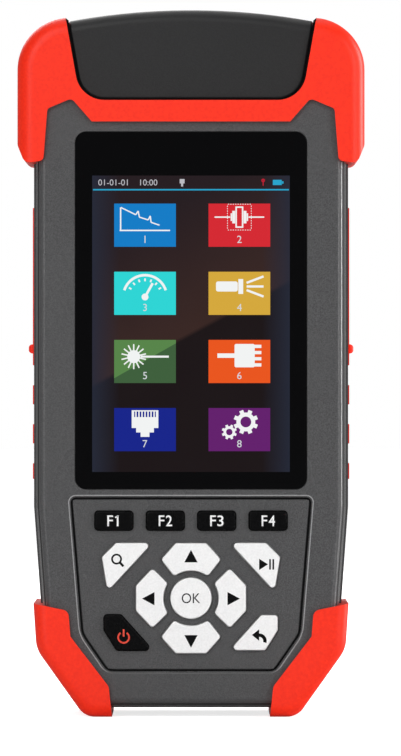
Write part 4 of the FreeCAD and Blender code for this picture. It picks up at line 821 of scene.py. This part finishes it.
def makeOtherLegends():
    bm = bmesh.new()
    disc(bm, *zoomLegend["lens"])
    stroke(bm, *zoomLegend["handle"])
    printOn("key_zoom", bm, blackInk)
    bm = bmesh.new()
    patch(bm, runLegend["triangle"])
    for barX in runLegend["barsX"]:
        rect(bm, barX, runLegend["barZ"], *runLegend["bar"])
    printOn("key_run_pause", bm, blackInk)
    bm = bmesh.new()
    arc(bm, *powerLegend["ring"])
    rect(bm, *powerLegend["bar"])
    printOn("key_power", bm, redInk)
    bm = bmesh.new()
    arc(bm, *backLegend["bend"])
    patch(bm, backLegend["head"])
    printOn("key_back", bm, blackInk)


makeFunctionLegends()
makeOkLegend()
makeArrowLegends()
makeOtherLegends()
print("legends done")


# thin trim on the casing: a painted shade line and a painted highlight line round the keypad, and a
# near-black lip that closes the cover's slit, coloured as painted shade

keypadLine = {
    "top": (30.0, 54.5), "side": (27.2, 20.6), "foot": (20.8, 11.3), "corner": 1.4,
    "grooveWide": 0.52, "grooveThick": 0.05, "floor": -18.5,
    "highlightWide": 0.28, "highlightThick": 0.03, "highlightOut": 0.62, "footShare": 0.6, "sideShare": 0.4,
    "shadedBelow": 10.5, "litAbove": 12.5, "shadedFootColour": rgb(70, 70, 71),
}
coverShadeLip = {"lowHalf": 26.9, "lowZ": 153.0, "slope": 0.1777, "topZ": 173.4, "corner": 5.55, "segments": 10,
             "lidGap": -0.05, "wide": 0.62, "y": -19.75, "deep": 1.5, "footReach": 1.0}
trimLooks = {
    "seal": {"name": "sealRubber", "dark": rgb(4, 4, 5), "light": rgb(10, 10, 11), "grain": 1500.0,
             "specks": 0.2, "bump": 0.1, "rough": 0.7, "gloss": 0.1},
    "groove": {"name": "grooveShade", "dark": rgb(12, 12, 13), "light": rgb(22, 22, 23), "grain": 1500.0,
               "specks": 0.2, "bump": 0.1, "rough": 0.7, "gloss": 0.1},
    "paintedHighlight": {"name": "paintedHighlightLine", "dark": rgb(128, 128, 129), "light": rgb(150, 150, 151), "grain": 3200.0,
             "specks": 0.4, "bump": 0.2, "rough": 0.35, "dust": 0.05},
}


# painted highlight: a pale line round the keypad, drawn as a thin ridge, bright at its sides and darker at
# its foot as the light falls
def makeBeadPlastic():
    material = makeMoulded(**trimLooks["paintedHighlight"])
    tree = material.node_tree
    shader = tree.nodes["Principled BSDF"].inputs
    litSides = shader["Base Color"].links[0].from_socket
    height = partOf(tree, objectPlace(tree), "Z")
    share = remap(tree, height, keypadLine["shadedBelow"] * mm, keypadLine["litAbove"] * mm)
    tree.links.new(mixColour(tree, share, keypadLine["shadedFootColour"], litSides), shader["Base Color"])
    return material


def mirroredOutline(half):
    return [(-x, z) for x, z in reversed(half)] + list(half)


def makeKeypadLine():
    (topX, topZ), (sideX, sideZ), (footX, footZ) = (keypadLine[key] for key in ("top", "side", "foot"))
    # painted shade: a near-black strip on the pad floor along the keypad's edge, where the groove's shadow
    # falls
    bm = bmesh.new()
    band(bm, mirroredOutline([(footX, footZ), (sideX, sideZ), (topX, topZ)]), keypadLine["corner"],
         keypadLine["grooveWide"])
    stamp("keypad_groove_line", bm, keypadLine["floor"] * mm, keypadLine["grooveThick"], grooveShade,
          "case")
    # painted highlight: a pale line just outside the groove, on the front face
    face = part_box("front_shell")[0].y
    out = keypadLine["highlightOut"]
    foot = (footX + keypadLine["footShare"] * out, footZ - out)
    side = (sideX + out, sideZ - keypadLine["sideShare"] * out)
    bm = bmesh.new()
    band(bm, mirroredOutline([foot, side, (topX + out, topZ + out)]), keypadLine["corner"] + out,
         keypadLine["highlightWide"])
    stamp("keypad_highlight_line", bm, face, keypadLine["highlightThick"], paintedHighlightLine, "case")


# a near-black lip that closes the slit between the cover and the casing; its near-black colour is painted
# shade of the slit
def makeCoverSeal():
    gap, wide, topZ = coverShadeLip["lidGap"], coverShadeLip["wide"], coverShadeLip["topZ"]
    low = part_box("port_cover")[0].z / mm
    outLow = low - gap - wide

    def edge(z):
        return coverShadeLip["lowHalf"] + gap + wide + (z - coverShadeLip["lowZ"]) * coverShadeLip["slope"]

    bm = bmesh.new()
    face = patch(bm, mirroredOutline([(edge(outLow), outLow), (edge(topZ), topZ)]))
    foot = [v for v in face.verts if v.co.z < (outLow + coverShadeLip["footReach"]) * mm]
    roundCorners(bm, foot, coverShadeLip["corner"] + wide, coverShadeLip["segments"])
    hollowOut(bm, next(iter(bm.faces)), wide)
    # the lip is open at the top
    top = [f for f in bm.faces if f.calc_center_median().z > (topZ - wide) * mm]
    bmesh.ops.delete(bm, geom=top, context="FACES")
    stamp("cover_seal", bm, (coverShadeLip["y"] + coverShadeLip["deep"]) * mm, coverShadeLip["deep"], sealRubber,
          "case")


# painted shade: near-black rubber for the cover's lip and a dark finish for the keypad groove strip
sealRubber, grooveShade = makeMoulded(**trimLooks["seal"]), makeMoulded(**trimLooks["groove"])
paintedHighlightLine = makeBeadPlastic()
makeKeypadLine()
makeCoverSeal()
print("trim done")


# floor, lights, world and camera

studio = {
    "ambient": 1.0, "ambientBeside": 0.15,              # from ahead and behind, and from beside
    "darkSide": 0.12, "paleSide": 0.2,                  # how much of the white is mirrored, front and back
    "darkTo": -0.95, "paleFrom": -0.2,
}
floorLook = {"size": 12.0, "white": 0.75, "rough": 0.9, "gloss": 0.1, "cloudScale": 4.0,
             "low": (0.80, 0.80, 0.80, 1), "high": (0.84, 0.84, 0.84, 1), "mirrored": (0.2, 0.2, 0.2, 1)}
lights = {
    "keyLight": {"power": 5.7, "size": (0.6, 0.9), "place": (-0.45, -1.25, 0.85)},
    "fillLight": {"power": 2.2, "size": (0.6, 0.9), "place": (1.0, -0.8, 0.5)},
    "topLight": {"power": 2.4, "size": (0.8, 0.8), "place": (0.0, 0.1, 1.2)},
    "backLight": {"power": 7.0, "size": (0.8, 0.8), "place": (-0.3, 0.9, 0.8)},
    "leftStrip": {"power": 2.4, "size": (0.06, 0.9), "place": (-0.62, -1.1, 0.12)},
    "rightStrip": {"power": 10.0, "size": (0.12, 0.9), "place": (0.88, 0.25, 0.2)},
    "frontStrip": {"power": 2.6, "size": (0.06, 0.9), "place": (0.72, -0.72, 0.12)},
}
lightsAim = (0, 0, 0.085)
camera = {"distance": 1.6, "aimX": 2.36, "aimZ": 84.1, "heightSeen": 187.5, "sensor": 36.0, "clipEnd": 20.0}


# the studio is white behind and beside the object, and dim on the screen's side
def makeWorld():
    world = bpy.data.worlds.new("studioWorld")
    bpy.context.scene.world = world
    world.use_nodes = True
    tree = world.node_tree
    ray = addNode(tree, "LightPath").outputs
    heading = partOf(tree, addNode(tree, "TexCoord").outputs["Generated"], "Y")
    walls = remap(tree, heading, studio["darkTo"], studio["paleFrom"], studio["darkSide"], studio["paleSide"])
    mirrored = calc(tree, "MULTIPLY", ray["Is Glossy Ray"], walls)
    seen = calc(tree, "MAXIMUM", ray["Is Camera Ray"],
                calc(tree, "MAXIMUM", mirrored, ray["Is Transmission Ray"]))
    along = calc(tree, "POWER", calc(tree, "ABSOLUTE", heading), 2.0)
    soft = remap(tree, along, 0.0, 1.0, studio["ambientBeside"], studio["ambient"])
    plain = calc(tree, "MULTIPLY", soft, ray["Is Diffuse Ray"])
    shade = tree.nodes["Background"].inputs
    shade["Color"].default_value = (1, 1, 1, 1)
    tree.links.new(calc(tree, "MAXIMUM", seen, plain), shade["Strength"])


# the floor is mirrored as dimly as the studio's walls
def makeFloor():
    bm = bmesh.new()
    bmesh.ops.create_grid(bm, x_segments=1, y_segments=1, size=floorLook["size"] / 2)
    mesh = bpy.data.meshes.new("floor")
    bm.to_mesh(mesh)
    bm.free()
    floor = bpy.data.objects.new("floor", mesh)
    bpy.context.scene.collection.objects.link(floor)
    material, tree, shader, coords = newMaterial("paleFloor", Roughness=floorLook["rough"],
                                                 Specular_IOR_Level=floorLook["gloss"])
    cloud = addNode(tree, "TexNoise", {"Vector": coords, "Scale": floorLook["cloudScale"]})
    pale = mixColour(tree, cloud.outputs["Fac"], floorLook["low"], floorLook["high"])
    shader["Emission Color"].default_value = (1, 1, 1, 1)
    ray = addNode(tree, "LightPath").outputs
    tree.links.new(mixColour(tree, ray["Is Glossy Ray"], pale, floorLook["mirrored"]), shader["Base Color"])
    seen = calc(tree, "MAXIMUM", ray["Is Camera Ray"],
                calc(tree, "MULTIPLY", ray["Is Glossy Ray"], studio["darkSide"]))
    tree.links.new(calc(tree, "MULTIPLY", seen, floorLook["white"]), shader["Emission Strength"])
    mesh.materials.append(material)


def makeLights():
    for name, values in lights.items():
        lamp = bpy.data.lights.new(name, "AREA")
        lamp.shape, lamp.energy = "RECTANGLE", values["power"]
        lamp.size, lamp.size_y = values["size"]
        holder = bpy.data.objects.new(name, lamp)
        bpy.context.scene.collection.objects.link(holder)
        holder.location = values["place"]
        towards = Vector(lightsAim) - Vector(values["place"])
        holder.rotation_euler = towards.to_track_quat("-Z", "Y").to_euler()


def makeCamera():
    lens = bpy.data.cameras.new("camera")
    lens.sensor_width = camera["sensor"]
    lens.sensor_fit = "AUTO"
    lens.lens = camera["sensor"] * camera["distance"] / (camera["heightSeen"] * mm)
    lens.clip_end = camera["clipEnd"]
    lens.dof.use_dof = False
    holder = bpy.data.objects.new("camera", lens)
    bpy.context.scene.collection.objects.link(holder)
    holder.location = (camera["aimX"] * mm, lensFront - camera["distance"], camera["aimZ"] * mm)
    holder.rotation_euler = (math.pi / 2, 0, 0)
    bpy.context.scene.camera = holder


makeWorld()
makeFloor()
makeLights()
makeCamera()
bpy.context.scene.view_settings.view_transform = "Standard"
print("studio done")
